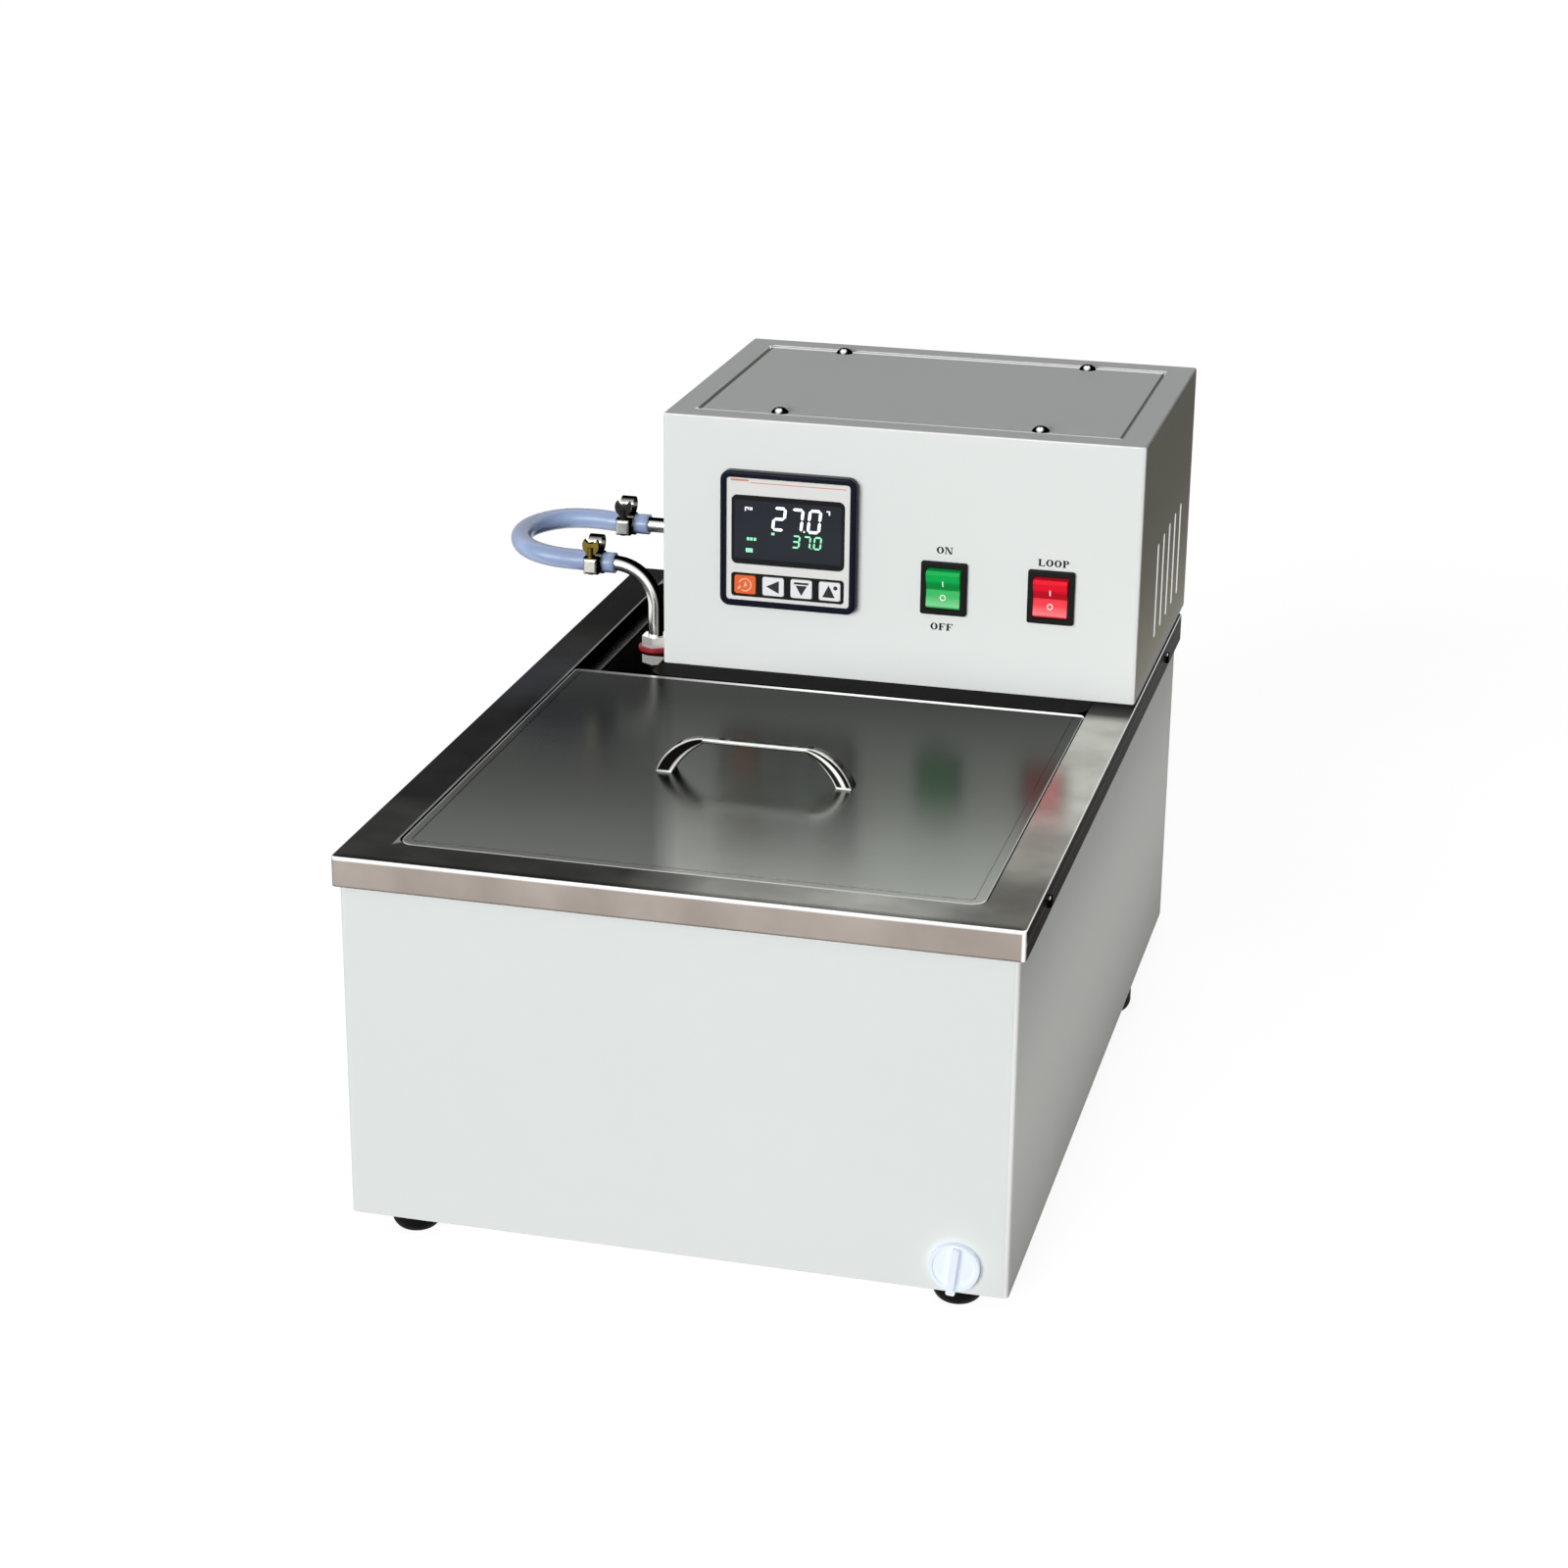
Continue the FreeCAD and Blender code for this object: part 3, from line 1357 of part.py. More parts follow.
def clamp_screw_shape(place):
    """The clamp's worm screw, with a winged thumb key on its upper end."""
    outer = hose_radius + clamp_band
    y = place.y - outer - clamp_housing_depth / 2 + clamp_band / 2
    high = clamp_housing_height / 2
    screw = cylinder(V(place.x, y, place.z - high), Z, clamp_screw_radius, 2 * high + clamp_screw_reach)
    key_low = place.z + high + clamp_key_up
    half = clamp_key_width / 2
    thick = clamp_key_thickness / 2
    def at(x, z):
        return V(place.x + x, y - thick, key_low + z)
    tall = clamp_key_height
    wing = tall * clamp_key_belly
    neck = clamp_key_neck
    tip = clamp_key_tip
    edges = [
        Part.makeLine(at(-neck, 0), at(neck, 0)),
        Part.Arc(at(neck, 0), at(half, wing), at(tip, tall)).toShape(),
        Part.Arc(at(tip, tall), at(0, tall - clamp_key_notch), at(-tip, tall)).toShape(),
        Part.Arc(at(-tip, tall), at(-half, wing), at(-neck, 0)).toShape(),
    ]
    key = Part.Face(Part.Wire(edges)).extrude(Y * clamp_key_thickness)
    return screw.fuse(key)


# Heater, probe and electrics

def heater_route():
    low = tank_floor + heater_clearance
    top = base_top + heater_top
    near = heater_x
    far = heater_x + heater_pitch
    return [V(near, heater_front, top), V(near, heater_front, low), V(near, heater_rear, low),
            V(far, heater_rear, low), V(far, heater_front, low), V(far, heater_front, top)]


def heater_tube():
    """The immersion heater: one tube down, round a long loop near the floor and back up."""
    return rod(heater_route(), [heater_bend] * 4, heater_radius)


def immersion_glands():
    """Nuts on the head's floor that seat the heater's legs and the probe."""
    places = [(V(heater_x, heater_front, 0), heater_radius),
              (V(heater_x + heater_pitch, heater_front, 0), heater_radius),
              (V(probe_x, probe_y, 0), probe_radius)]
    glands = []
    for centre, radius in places:
        bore = cylinder(centre + Z * base_top, Z, radius, gland_height)
        glands.append(hexagon(centre, 2 * gland_radius, base_top, base_top + gland_height).cut(bore))
    return Part.makeCompound(glands)


def temperature_probe():
    """A thin stainless probe that hangs in the bath, with a rounded tip."""
    top = base_top + probe_top
    body = cylinder(V(probe_x, probe_y, top - probe_length), Z, probe_radius, probe_length)
    tip = Part.makeSphere(probe_radius, V(probe_x, probe_y, top - probe_length))
    return body.fuse(tip)


def heat_sink():
    """A finned aluminium heat sink on the head's floor."""
    x0 = sink_x - sink_length / 2
    y0 = sink_y - sink_width / 2
    fins = [block(x0, x0 + sink_length, y0, y0 + sink_width, base_top, base_top + sink_base)]
    pitch = (sink_width - relay_width - sink_fin) / (sink_fins - 1)
    for k in range(sink_fins):
        y = y0 + k * pitch
        fins.append(block(x0, x0 + sink_length, y, y + sink_fin, base_top, base_top + sink_height))
    return fins[0].fuse(fins[1:]).removeSplitter()


def relay():
    """The solid-state relay beside the fins."""
    y1 = sink_y + sink_width / 2
    body = block(sink_x - relay_length / 2, sink_x + relay_length / 2, y1 - relay_width + 4 * sink_fin, y1,
                 base_top + sink_base, base_top + sink_base + relay_height)
    upper_edges = [edge for edge in body.Edges if edge.BoundBox.ZMin > base_top + relay_height]
    return body.makeFillet(relay_edge, upper_edges)


def terminal_block():
    """A row of screw terminals on the head's floor."""
    x0 = terminal_x - terminal_length / 2
    y0 = terminal_y - terminal_width / 2
    body = block(x0, x0 + terminal_length, y0, y0 + terminal_width, base_top, base_top + terminal_height)
    pitch = terminal_length / terminal_ways
    for k in range(terminal_ways):
        x = x0 + (k + 0.5) * pitch
        hole = cylinder(V(x, terminal_y, base_top + terminal_height / 2), Z, terminal_bore, terminal_height)
        body = body.cut(hole)
    return body


def power_inlet():
    """The mains inlet: a flanged socket through the rear wall, and three blades through its floor."""
    y = head_rear
    wide = inlet_width + 2 * inlet_flange
    high = inlet_height + 2 * inlet_flange
    flange = panel(inlet_x, inlet_z, wide, high, y, y + inlet_flange_thickness, inlet_flange)
    body = panel(inlet_x, inlet_z, inlet_width, inlet_height, y - inlet_depth, y, head_corner)
    mouth = y + inlet_flange_thickness
    well = panel(inlet_x, inlet_z, inlet_socket_width, inlet_socket_height,
                 mouth - inlet_socket_depth, mouth, head_corner)
    shell = flange.fuse(body).cut(well)
    floor = mouth - inlet_socket_depth
    half_w = inlet_pin_width / 2
    half_h = inlet_pin_height / 2
    back = y - inlet_depth - inlet_tab
    pins = []
    places = ((-inlet_pin_spread, -inlet_pin_rise), (0, inlet_pin_rise), (inlet_pin_spread, -inlet_pin_rise))
    for x, z in places:
        pins.append(block(inlet_x + x - half_w, inlet_x + x + half_w, back, floor + inlet_pin_length,
                          inlet_z + z - half_h, inlet_z + z + half_h))
    return Part.makeCompound([shell.cut(Part.makeCompound(pins))] + pins)


def fuse_holder():
    """A round fuse holder with a knurled cap outside the rear wall."""
    place = V(fuse_x, head_rear, inlet_z)
    body = cylinder(place - Y * fuse_body_length, Y, fuse_radius, fuse_body_length)
    cap = cylinder(place, Y, fuse_cap_radius, fuse_cap_height)
    slot = block(fuse_x - fuse_cap_radius, fuse_x + fuse_cap_radius, fuse_rear - fuse_slot_depth, fuse_rear,
                 inlet_z - fuse_slot / 2, inlet_z + fuse_slot / 2)
    return body.fuse(cap).cut(slot)


def build():
    os.makedirs("parts", exist_ok=True)
    save("outer_casing", outer_casing())
    save("bottom_plate", bottom_plate())
    for name, place in foot_places().items():
        save(name, rubber_foot(place))
    save("foot_screws", foot_screws())
    save("top_rim", top_rim())
    save("rim_screws", rim_screws())
    save("inner_tank", inner_tank())
    save("insulation", insulation())
    save("drain_pipe", drain_pipe())
    save("drain_plug", drain_plug())
    save("lid", lid())
    save("lid_handle", lid_handle())
    save("handle_screws", handle_screws())
    save("rear_deck", rear_deck())
    save("head_base_plate", head_base_plate())
    save("head_housing", head_housing())
    save("vent_screen", vent_screen())
    save("head_top_cover", head_top_cover())
    save("cover_screws", cover_screws())
    save("controller_case", controller_case())
    save("controller_fascia", controller_fascia())
    save("display_window", display_window())
    save("key_bezel", key_bezel())
    for name, x in key_places().items():
        save(name, controller_key(x))
    save("key_pad", key_pad())
    for name, x in (("power", power_switch_x), ("loop", loop_switch_x)):
        save(name + "_switch_body", switch_body(x))
        save(name + "_rocker", rocker(x))
    save("pump_motor", pump_motor())
    save("pump_shaft", pump_shaft())
    save("motor_fan", motor_fan())
    save("impeller", impeller())
    save("pump_housing", pump_housing())
    save("pump_column", pump_column())
    save("shaft_bush", shaft_bush())
    save("outlet_pipe", outlet_pipe())
    save("outlet_grommet", outlet_grommet())
    save("return_pipe", return_pipe())
    save("union_nuts", union_nuts())
    save("seal_ring", seal_ring())
    save("circulation_hose", circulation_hose())
    for name, place in clamp_places().items():
        save(name + "_clamp_band", clamp_band_shape(place))
        save(name + "_clamp_screw", clamp_screw_shape(place))
    save("heater_tube", heater_tube())
    save("immersion_glands", immersion_glands())
    save("temperature_probe", temperature_probe())
    save("heat_sink", heat_sink())
    save("relay", relay())
    save("terminal_block", terminal_block())
    save("power_inlet", power_inlet())
    save("fuse_holder", fuse_holder())


build()
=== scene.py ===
import math

import bpy
import numpy as np
from bpy.props import FloatProperty, FloatVectorProperty, PointerProperty
from mathutils import Matrix, Vector


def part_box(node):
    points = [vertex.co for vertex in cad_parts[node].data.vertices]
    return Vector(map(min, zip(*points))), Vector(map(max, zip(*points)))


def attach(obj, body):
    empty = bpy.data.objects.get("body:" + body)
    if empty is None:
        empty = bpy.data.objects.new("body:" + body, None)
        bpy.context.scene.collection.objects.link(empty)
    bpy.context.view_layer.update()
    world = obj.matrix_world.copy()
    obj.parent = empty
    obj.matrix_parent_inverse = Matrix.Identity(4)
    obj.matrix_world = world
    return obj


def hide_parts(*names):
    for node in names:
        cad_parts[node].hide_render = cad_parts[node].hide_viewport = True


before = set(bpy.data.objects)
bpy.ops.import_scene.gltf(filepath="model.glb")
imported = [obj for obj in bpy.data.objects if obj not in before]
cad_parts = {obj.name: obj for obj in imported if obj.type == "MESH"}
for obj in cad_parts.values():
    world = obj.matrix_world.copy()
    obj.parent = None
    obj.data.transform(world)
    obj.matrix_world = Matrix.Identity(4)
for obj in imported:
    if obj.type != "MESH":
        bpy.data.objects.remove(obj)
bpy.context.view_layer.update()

bl_info = {
    "name": "Thermostatic Water Bath",
    "version": (1, 0, 0),
    "blender": (4, 5, 0),
    "location": "3D View > Sidebar > Water Bath",
    "description": "Finishes a laboratory water bath: steel, enamel, display, switches, hose and lettering",
    "category": "Object",
}

MM = 0.001

# The arcs that bound the handle's legs, in millimetres: centre across and up, and radius
OUTER_ARC = (23.97, -7.65, 25.69)
INNER_ARC = (5.95, -17.54, 38.30)

# Places on the object, in millimetres: x from the middle, y from the middle of the plan, z from the bench
HEAD_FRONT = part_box("head_housing")[0].y / MM
SCREEN_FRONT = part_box("display_window")[0].y / MM
FASCIA_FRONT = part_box("controller_fascia")[0].y / MM
SWITCH_Z = (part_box("power_switch_body")[0].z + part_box("power_switch_body")[1].z) / 2 / MM


def linear(code):
    """An sRGB hex colour as linear red, green, blue and alpha. A colour that is linear already stays."""
    if not isinstance(code, str):
        return tuple(code)
    parts = np.array([int(code[i:i + 2], 16) for i in (1, 3, 5)]) / 255
    low = parts / 12.92
    high = ((parts + 0.055) / 1.055) ** 2.4
    return (*[float(v) for v in np.where(parts <= 0.04045, low, high)], 1.0)


def colour_property(name, description, code):
    return FloatVectorProperty(name=name, description=description, subtype="COLOR", size=4,
                               min=0, max=1, default=linear(code))


def length_property(name, description, value):
    return FloatProperty(name=name, description=description, unit="LENGTH", min=0, default=value)


class BathColours(bpy.types.PropertyGroup):
    """The colours of the bath's finishes."""
    enamel: colour_property("Enamel", "Powder coat on the casing and the head", "#E6EAE8")
    case: colour_property("Controller case", "Moulded case of the controller", "#050A1C")
    fascia: colour_property("Fascia", "Printed film on the controller's face", "#E6E6E4")
    screen: colour_property("Screen", "Smoked window over the display", "#1E232C")
    lit_white: colour_property("Upper reading", "Lit segments of the upper reading", "#F4F7FA")
    lit_green: colour_property("Lower reading", "Lit segments of the lower reading", "#86DDAA")
    key_orange: colour_property("Run key", "Cap of the run key", "#EE6B38")
    key_grey: colour_property("Grey keys", "Caps of the other keys", "#F2F3F5")
    green_lens: colour_property("Green rocker", "Lens of the power switch", "#12AC50")
    red_lens: colour_property("Red rocker", "Lens of the loop switch", "#E4162E")
    hose: colour_property("Hose", "Soft clear tube", "#AFC3E6")
    silicone: colour_property("Seal", "Silicone seal ring", "#8E1F28")
    plug: colour_property("Drain plug", "Moulded drain plug", "#CDD5E2")


class BathSizes(bpy.types.PropertyGroup):
    """The sizes of what is printed, lit or laid on the bath."""
    print_thickness: length_property("Print thickness", "How far printed marks stand off their face", 0.00006)
    upper_height: length_property("Upper digits", "Height of the upper reading's digits", 0.0126)
    lower_height: length_property("Lower digits", "Height of the lower reading's digits", 0.0069)
    letter_height: length_property("Letter height", "Height of the letters beside the switches", 0.0037)
    hose_diameter: length_property("Hose diameter", "Outside diameter of the hose", 0.011)
    hose_bore: length_property("Hose bore", "Bore of the hose", 0.008)
    peel: length_property("Orange peel", "Spacing of the ripple in the powder coat", 0.0022)
    grain: length_property("Grain", "Spacing of the brushing lines, drawn coarse enough to show", 0.0009)


class BathStage(bpy.types.PropertyGroup):
    """The studio round the bath."""
    floor_radius: length_property("Floor radius", "Radius of the pale floor", 14.0)
    lens: FloatProperty(name="Lens", description="Focal length in millimetres, 36 mm sensor", default=74.9)
    sky: FloatProperty(name="Sky", description="Strength of the soft light from above", min=0, default=0.29)


# Materials

BLACK, WHITE = "#000000", "#FFFFFF"
UP, RIGHT, FRONT = (0, 0, 1), (1, 0, 0), (0, -1, 0)

# Ramp stops that pick out a bend between two faces by how far its normal turns, for a painted highlight
BEND_HIGHLIGHT_STOPS = ((0.25, BLACK), (0.45, WHITE), (0.75, WHITE), (0.9, BLACK))


class Nodes:
    """The node tree of a material or a world, emptied to be built anew."""
    def __init__(self, owner):
        owner.use_nodes = True
        self.tree = owner.node_tree
        self.tree.nodes.clear()

    def fill(self, node, values):
        """Sets a node's properties and inputs by name or number, links an input to a value that is a
        socket, and turns hex colours to linear. The stops of a ramp are pairs of a position and a
        colour."""
        for key, value in dict(values).items():
            if key == "stops":
                elements = node.color_ramp.elements
                while len(elements) < len(value):
                    elements.new(0.5)
                for element, (position, colour) in zip(elements, value):
                    element.position, element.color = position, linear(colour)
            elif isinstance(key, str) and hasattr(node, key):
                setattr(node, key, value)
            elif isinstance(value, bpy.types.NodeSocket):
                self.tree.links.new(value, node.inputs[key])
            else:
                node.inputs[key].default_value = linear(value) if isinstance(value, str) else value
        return node

    def add(self, kind, values=(), out=0):
        """Adds a node with its settings and links, and gives one of its outputs."""
        node = self.fill(self.tree.nodes.new("ShaderNode" + kind), values)
        return node.outputs[out] if len(node.outputs) else node


class Finish(Nodes):
    """A material with one surface shader, painted in the object's own coordinates, in metres."""
    def __init__(self, name, settings=()):
        self.material = bpy.data.materials.get(name) or bpy.data.materials.new(name)
        super().__init__(self.material)
        self.shader = self.add("BsdfPrincipled", settings).node
        self.add("OutputMaterial", {"Surface": self.shader.outputs[0]})
        self.place = self.add("TexCoord", out="Object")
        self.spot = self.add("SeparateXYZ", {"Vector": self.place}).node.outputs
        self.normal = self.add("NewGeometry", out="Normal")

    def wear(self, values):
        """Sets or links the surface shader's inputs, and gives the finish."""
        self.fill(self.shader, values)
        return self

    def along(self, axis, low, high):
        """How far the place along an axis, or a value in its stead, is from low to high, from 0 to 1."""
        value = self.spot[axis] if isinstance(axis, str) else axis
        return self.add("MapRange", {"Value": value, "From Min": low, "From Max": high})

    def slant(self, way, low, high):
        """How far a point is from low to high along one direction in plan, from 0 to 1."""
        dot = self.add("VectorMath", {"operation": "DOT_PRODUCT", 0: self.place, 1: way}, "Value")
        return self.along(dot, low, high)

    def facing(self, way, *limits):
        """How far the surface faces one way, from -1 to 1, or from 0 to 1 between two limits."""
        part = self.add("VectorMath", {"operation": "DOT_PRODUCT", 0: self.normal, 1: way}, "Value")
        return self.along(part, *limits) if limits else part

    def layers(self, base, *over):
        """A colour with others laid over it in turn, each through its mask."""
        for mask, colour in over:
            base = self.add("Mix", {"data_type": "RGBA", "Factor": mask, 6: base, 7: colour}, 2)
        return base

    def product(self, value, *others):
        """The product of several colours or masks."""
        for other in others:
            value = self.add("VectorMath", {"operation": "MULTIPLY", 0: value, 1: other})
        return value

    def clouds(self, spacing, low, high):
        """Soft blotches of one spacing, as a value between two limits."""
        noise = self.add("TexNoise", {"Vector": self.place, "Scale": 1 / spacing, "Detail": 3.0}, "Fac")
        return self.add("MapRange", {"Value": noise, "From Min": 0.35, "From Max": 0.65, "To Min": low,
                                     "To Max": high})

    def shade(self, colour, spacing, amount):
        """A base colour with slow, faint patches of a darker tone of itself."""
        colour = linear(colour)
        noise = self.add("TexNoise", {"Vector": self.place, "Scale": 1 / spacing, "Detail": 3.0}, "Fac")
        tone = self.layers(darker(colour, 1 - amount), (noise, colour))
        self.wear({"Base Color": tone})
        return tone

    def roughen(self, spacing, depth, low, high, stretch=(1, 1, 1)):
        """Ripples of one spacing as a bump of one depth and as a roughness between two limits."""
        mapped = self.add("Mapping", {"Vector": self.place, "Scale": stretch})
        noise = self.add("TexNoise", {"Vector": mapped, "Scale": 1 / spacing, "Detail": 2.0}, "Fac")
        self.wear({"Normal": self.add("Bump", {"Height": noise, "Strength": 1.0, "Distance": depth}),
                   "Roughness": self.add("MapRange", {"Value": noise, "To Min": low, "To Max": high})})
        return noise

    def border(self, node, axis, width=0.001, ahead=0.0):
        """1 on a line along the two edges of a sunk sheet that lie across the axis, or ahead of them by a
        distance."""
        low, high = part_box(node)
        index = "XY".index(axis)
        start, end = low[index] - ahead, high[index] - ahead
        margin, soft = 0.002, 0.0002
        whole = end - start + 2 * margin
        edge, line = margin / whole, width / whole
        stops = [(edge - soft, BLACK), (edge, WHITE), (edge + line, WHITE), (edge + line + soft, BLACK)]
        stops += [(1 - position, colour) for position, colour in reversed(stops)]
        mask = self.add("ValToRGB", {"Fac": self.along(axis, start - margin, end + margin), "stops": stops})
        mask = self.product(mask, self.along("Z", low.z - 2 * soft, low.z - soft))
        for other, first, last in zip("XY", low, high):
            mask = self.product(mask, self.along(other, first - ahead - soft, first - ahead),
                                self.along(other, last + soft, last))
        return mask


def darker(colour, share):
    """A linear colour at a share of its strength."""
    return tuple(v * share for v in colour[:3]) + (1.0,)


def powder_coat(c, s):
    """Powder-coated steel sheet: nearly matt, with a fine orange-peel ripple that softens its highlights. Its
    gloss fades where it is seen edge on. Painted highlights lie on its bends, painted light glows on the
    edges of the vent slots, painted shade dims and warms the head's right side, a dark seam shows along the
    sunk cover's sides, and a painted glint glows along its front and rear edges."""
    p = Finish("powder_coat", {"IOR": 1.5})
    low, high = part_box("head_housing")
    even = p.shade(c.enamel, 0.09, 0.02)
    # Painted highlights on the bends that turn up and to the right
    up_bend_highlight, right_bend_highlight = (p.add("ValToRGB", {"Fac": p.facing(way), "stops": BEND_HIGHLIGHT_STOPS}) for way in (UP, RIGHT))
    any_bend_highlight = p.add("Math", {"operation": "MAXIMUM", 0: up_bend_highlight, 1: right_bend_highlight})
    # Painted shade: the head's right side is dimmed and warmed
    dim = p.product(p.facing(RIGHT, 0.8, 0.95), p.along("Z", 0.19, 0.2))
    # A painted glint, white and glowing, along the front and rear edges of the sunk cover
    ends = p.border("head_top_cover", "Y", 0.0025, 0.0015)
    # Painted light, white and glowing, on the edges of the vent slots
    slot_edge_glow = p.product(p.along("X", high.x - 0.0014, high.x - 0.0009), p.facing(FRONT, 0.5, 0.8),
                    p.along("Y", low.y + 0.03, low.y + 0.04))
    p.roughen(s.peel, 0.00002, 0.42, 0.54)
    return p.wear({
        "Base Color": p.layers(p.product(even, p.layers(WHITE, (dim, (1.0, 0.93, 0.81, 1.0)))), (any_bend_highlight, WHITE),
                               (ends, WHITE), (p.border("head_top_cover", "X"), "#0E100F")),
        "Specular IOR Level": p.add("MapRange", {"Value": p.add("LayerWeight", out="Facing"), "To Max": 0.0,
                                                 "From Min": 0.25, "From Max": 0.6, "To Min": 0.3}),
        "Emission Color": p.product(p.layers(BLACK, (slot_edge_glow, WHITE), (ends, WHITE)), (0.5, 0.5, 0.5)),
        "Emission Strength": 1.0})


def steel(name, tone, spacing, stretch, low, high, depth, edge=0.5, side_edge=None):
    """Brushed stainless steel: fine parallel lines stretch the highlights across the grain. tone gives the
    colour, edge how bright it stays where it is seen edge on, and side_edge the same on faces that turn to
    the right, where a dimmer value is painted shade."""
    tint = darker(linear(WHITE), edge)
    p = Finish(name, {"Metallic": 1.0, "Specular Tint": tint})
    # Painted shade: a dimmer edge tint on faces that turn to the right darkens their reflection
    if side_edge is not None:
        right_face_shade_tint = darker(linear(WHITE), side_edge)
        p.wear({"Specular Tint": p.layers(tint, (p.facing(RIGHT, 0.6, 0.9), right_face_shade_tint))})
    lines = p.roughen(spacing, depth, low, high, stretch)
    shift = p.add("MapRange", {"Value": lines, "To Min": 0.88, "To Max": 1.12})
    return p.wear({"Base Color": p.add("VectorMath", {"operation": "SCALE", 0: tone(p), "Scale": shift})})


def rim_tone(p):
    """The rim's flat top by its sides, in painted reflection and shade: dark on the left, light on the right
    as far as the head, with a painted shadow under it, and from dark to light along the front, with faint
    clouds. Its skirt is a warm grey with painted bands of light and shade, its well is painted dark as shade,
    and painted highlights lie along its edges."""
    depth, height = p.along("Y", -0.247, 0.223), p.along("Z", 0.175, 0.1895)
    # Painted reflection: the left side's flat top is dark
    left = p.add("ValToRGB", {"Fac": depth, "stops": (
        (0.02, "#414140"), (0.13, "#434342"), (0.18, "#323232"), (0.447, "#2A2A2A"), (0.553, "#414348"),
        (0.62, "#3D3E40"), (0.713, "#2E2E2D"), (0.766, "#191918"), (0.87, "#0F0F0F"))})
    # Painted reflection on the right side's flat top, ending in a painted shadow under the head
    right = p.add("ValToRGB", {"Fac": depth, "stops": (
        (0.0, "#807E78"), (0.1, "#807E78"), (0.15, "#AFACA5"), (0.235, "#C5C2BB"), (0.29, "#DDDBD3"),
        (0.34, "#E7E6DE"), (0.585, "#E7E6DE"), (0.61, "#595854"), (0.65, "#191918"))})
    # Painted reflection along the front, from dark on the left to light further right
    front = p.add("ValToRGB", {"Fac": p.along("X", -0.158, 0.158), "stops": (
        (0.04, "#40403E"), (0.3, "#40403E"), (0.42, "#454542"), (0.484, "#6F6F6A"), (0.547, "#A8A8A2"),
        (0.65, "#B6B6B0"), (0.76, "#BFBFB9"), (0.864, "#A7A7A1"), (0.927, "#878781"), (0.97, "#7C7C76"))})
    # Painted shade darkens the front flange towards its edge
    rolled = p.add("ValToRGB", {"Fac": p.along("Y", -0.2465, -0.2415),
                                "stops": ((0.0, "#9A9A9A"), (1.0, WHITE))})
    away = p.add("Math", {"operation": "ABSOLUTE", 0: p.spot["X"]})
    diagonal = p.add("Math", {"operation": "ADD", 0: away, 1: p.spot["Y"]})
    # Painted highlight: pale from the opening's left edge inwards, as far as the middle
    sides = p.layers(left, (p.along("X", -0.1368, -0.1362), "#9A9A98"), (p.along("X", -0.01, 0.01), right))
    top = p.product(p.layers(p.product(front, rolled), (p.along(diagonal, -0.0905, -0.0875), sides)),
                    p.clouds(0.022, 0.84, 1.08))
    outer = p.add("Math", {"operation": "MAXIMUM", 0: p.along(away, 0.15, 0.155),
                           1: p.along("Y", 0.215, 0.22)})
    # Painted light and shade on the skirt's sides: a light band along their middle, darker towards the top
    side = p.add("ValToRGB", {"Fac": height, "stops": (
        (0.0, "#8A837C"), (0.4, "#8A837C"), (0.52, "#B5ABA2"), (0.62, "#8A837C"), (0.85, "#5E5955"))})
    # Painted light and shade on the skirt's front: dark along its lower edge, with a white highlight along
    # its top
    face = p.add("ValToRGB", {"Fac": height, "stops": (
        (0.0, "#5A534E"), (0.06, "#AAA098"), (0.86, "#ADA39B"), (0.9, WHITE))})
    # Painted highlights on the edges that turn up and to the right
    up_bend_highlight = p.add("ValToRGB", {"Fac": p.facing(UP), "stops": (
        (0.0, BLACK), (0.2, BLACK), (0.45, WHITE), (0.8, WHITE), (0.95, BLACK))})
    right_bend_highlight = p.add("ValToRGB", {"Fac": p.facing(RIGHT), "stops": (
        (0.1, BLACK), (0.35, WHITE), (0.7, WHITE), (0.9, BLACK))})
    # The well is painted dark, as shade
    return p.layers("#20262A", (outer, side),
                    (p.facing(FRONT, 0.4, 0.9), p.product(face, p.clouds(0.03, 0.86, 1.06))),
                    (right_bend_highlight, WHITE), (p.facing(UP, 0.6, 0.9), top), (up_bend_highlight, WHITE))


def rear_hem_glint(p):
    """1 on the lid's raised rear edge, fading towards its left end: the mask of a painted highlight."""
    low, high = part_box("lid")
    fade = p.add("ValToRGB", {"Fac": p.along("X", low.x, high.x), "stops": (
        (0.0, "#3A3A3A"), (0.2, "#909090"), (0.5, WHITE))})
    return p.product(p.along("Y", high.y - 0.0046, high.y - 0.0038), fade)


def lid_tone(p):
    """The lid's satin tone is painted darker towards the head, as painted shade and reflection, and again to
    the left of a slanting line, as a painted reflection of a dark part of the room. Its rolled edges and its
    rear hem carry painted highlights."""
    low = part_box("lid")[0]
    # Painted shade and reflection: darker towards the head
    depth = p.add("ValToRGB", {"Fac": p.slant((0.15, -1.0, 0.0), -0.02, 0.24), "stops": (
        (0.0, "#50524E"), (0.22, "#666864"), (0.45, "#797B76"), (0.6, "#8B8D88"), (0.76, "#A2A49F"),
        (1.0, "#B8BAB5"))})
    # Painted reflection of a dark part of the room, to the left of a slanting line
    room = p.add("ValToRGB", {"Fac": p.slant((1.0, 0.295, 0.0), -0.081, -0.069), "stops": (
        (0.0, "#ACADAF"), (1.0, WHITE))})
    # Painted highlights on the left edge strip, the rear hem and every face that doesn't face up
    flat = p.layers(p.product(depth, room), (p.along("X", low.x + 0.0016, low.x + 0.0008), "#C9C9C7"),
                    (rear_hem_glint(p), WHITE))
    return p.layers("#C9C9C7", (p.facing(UP, 0.8, 0.95), flat))


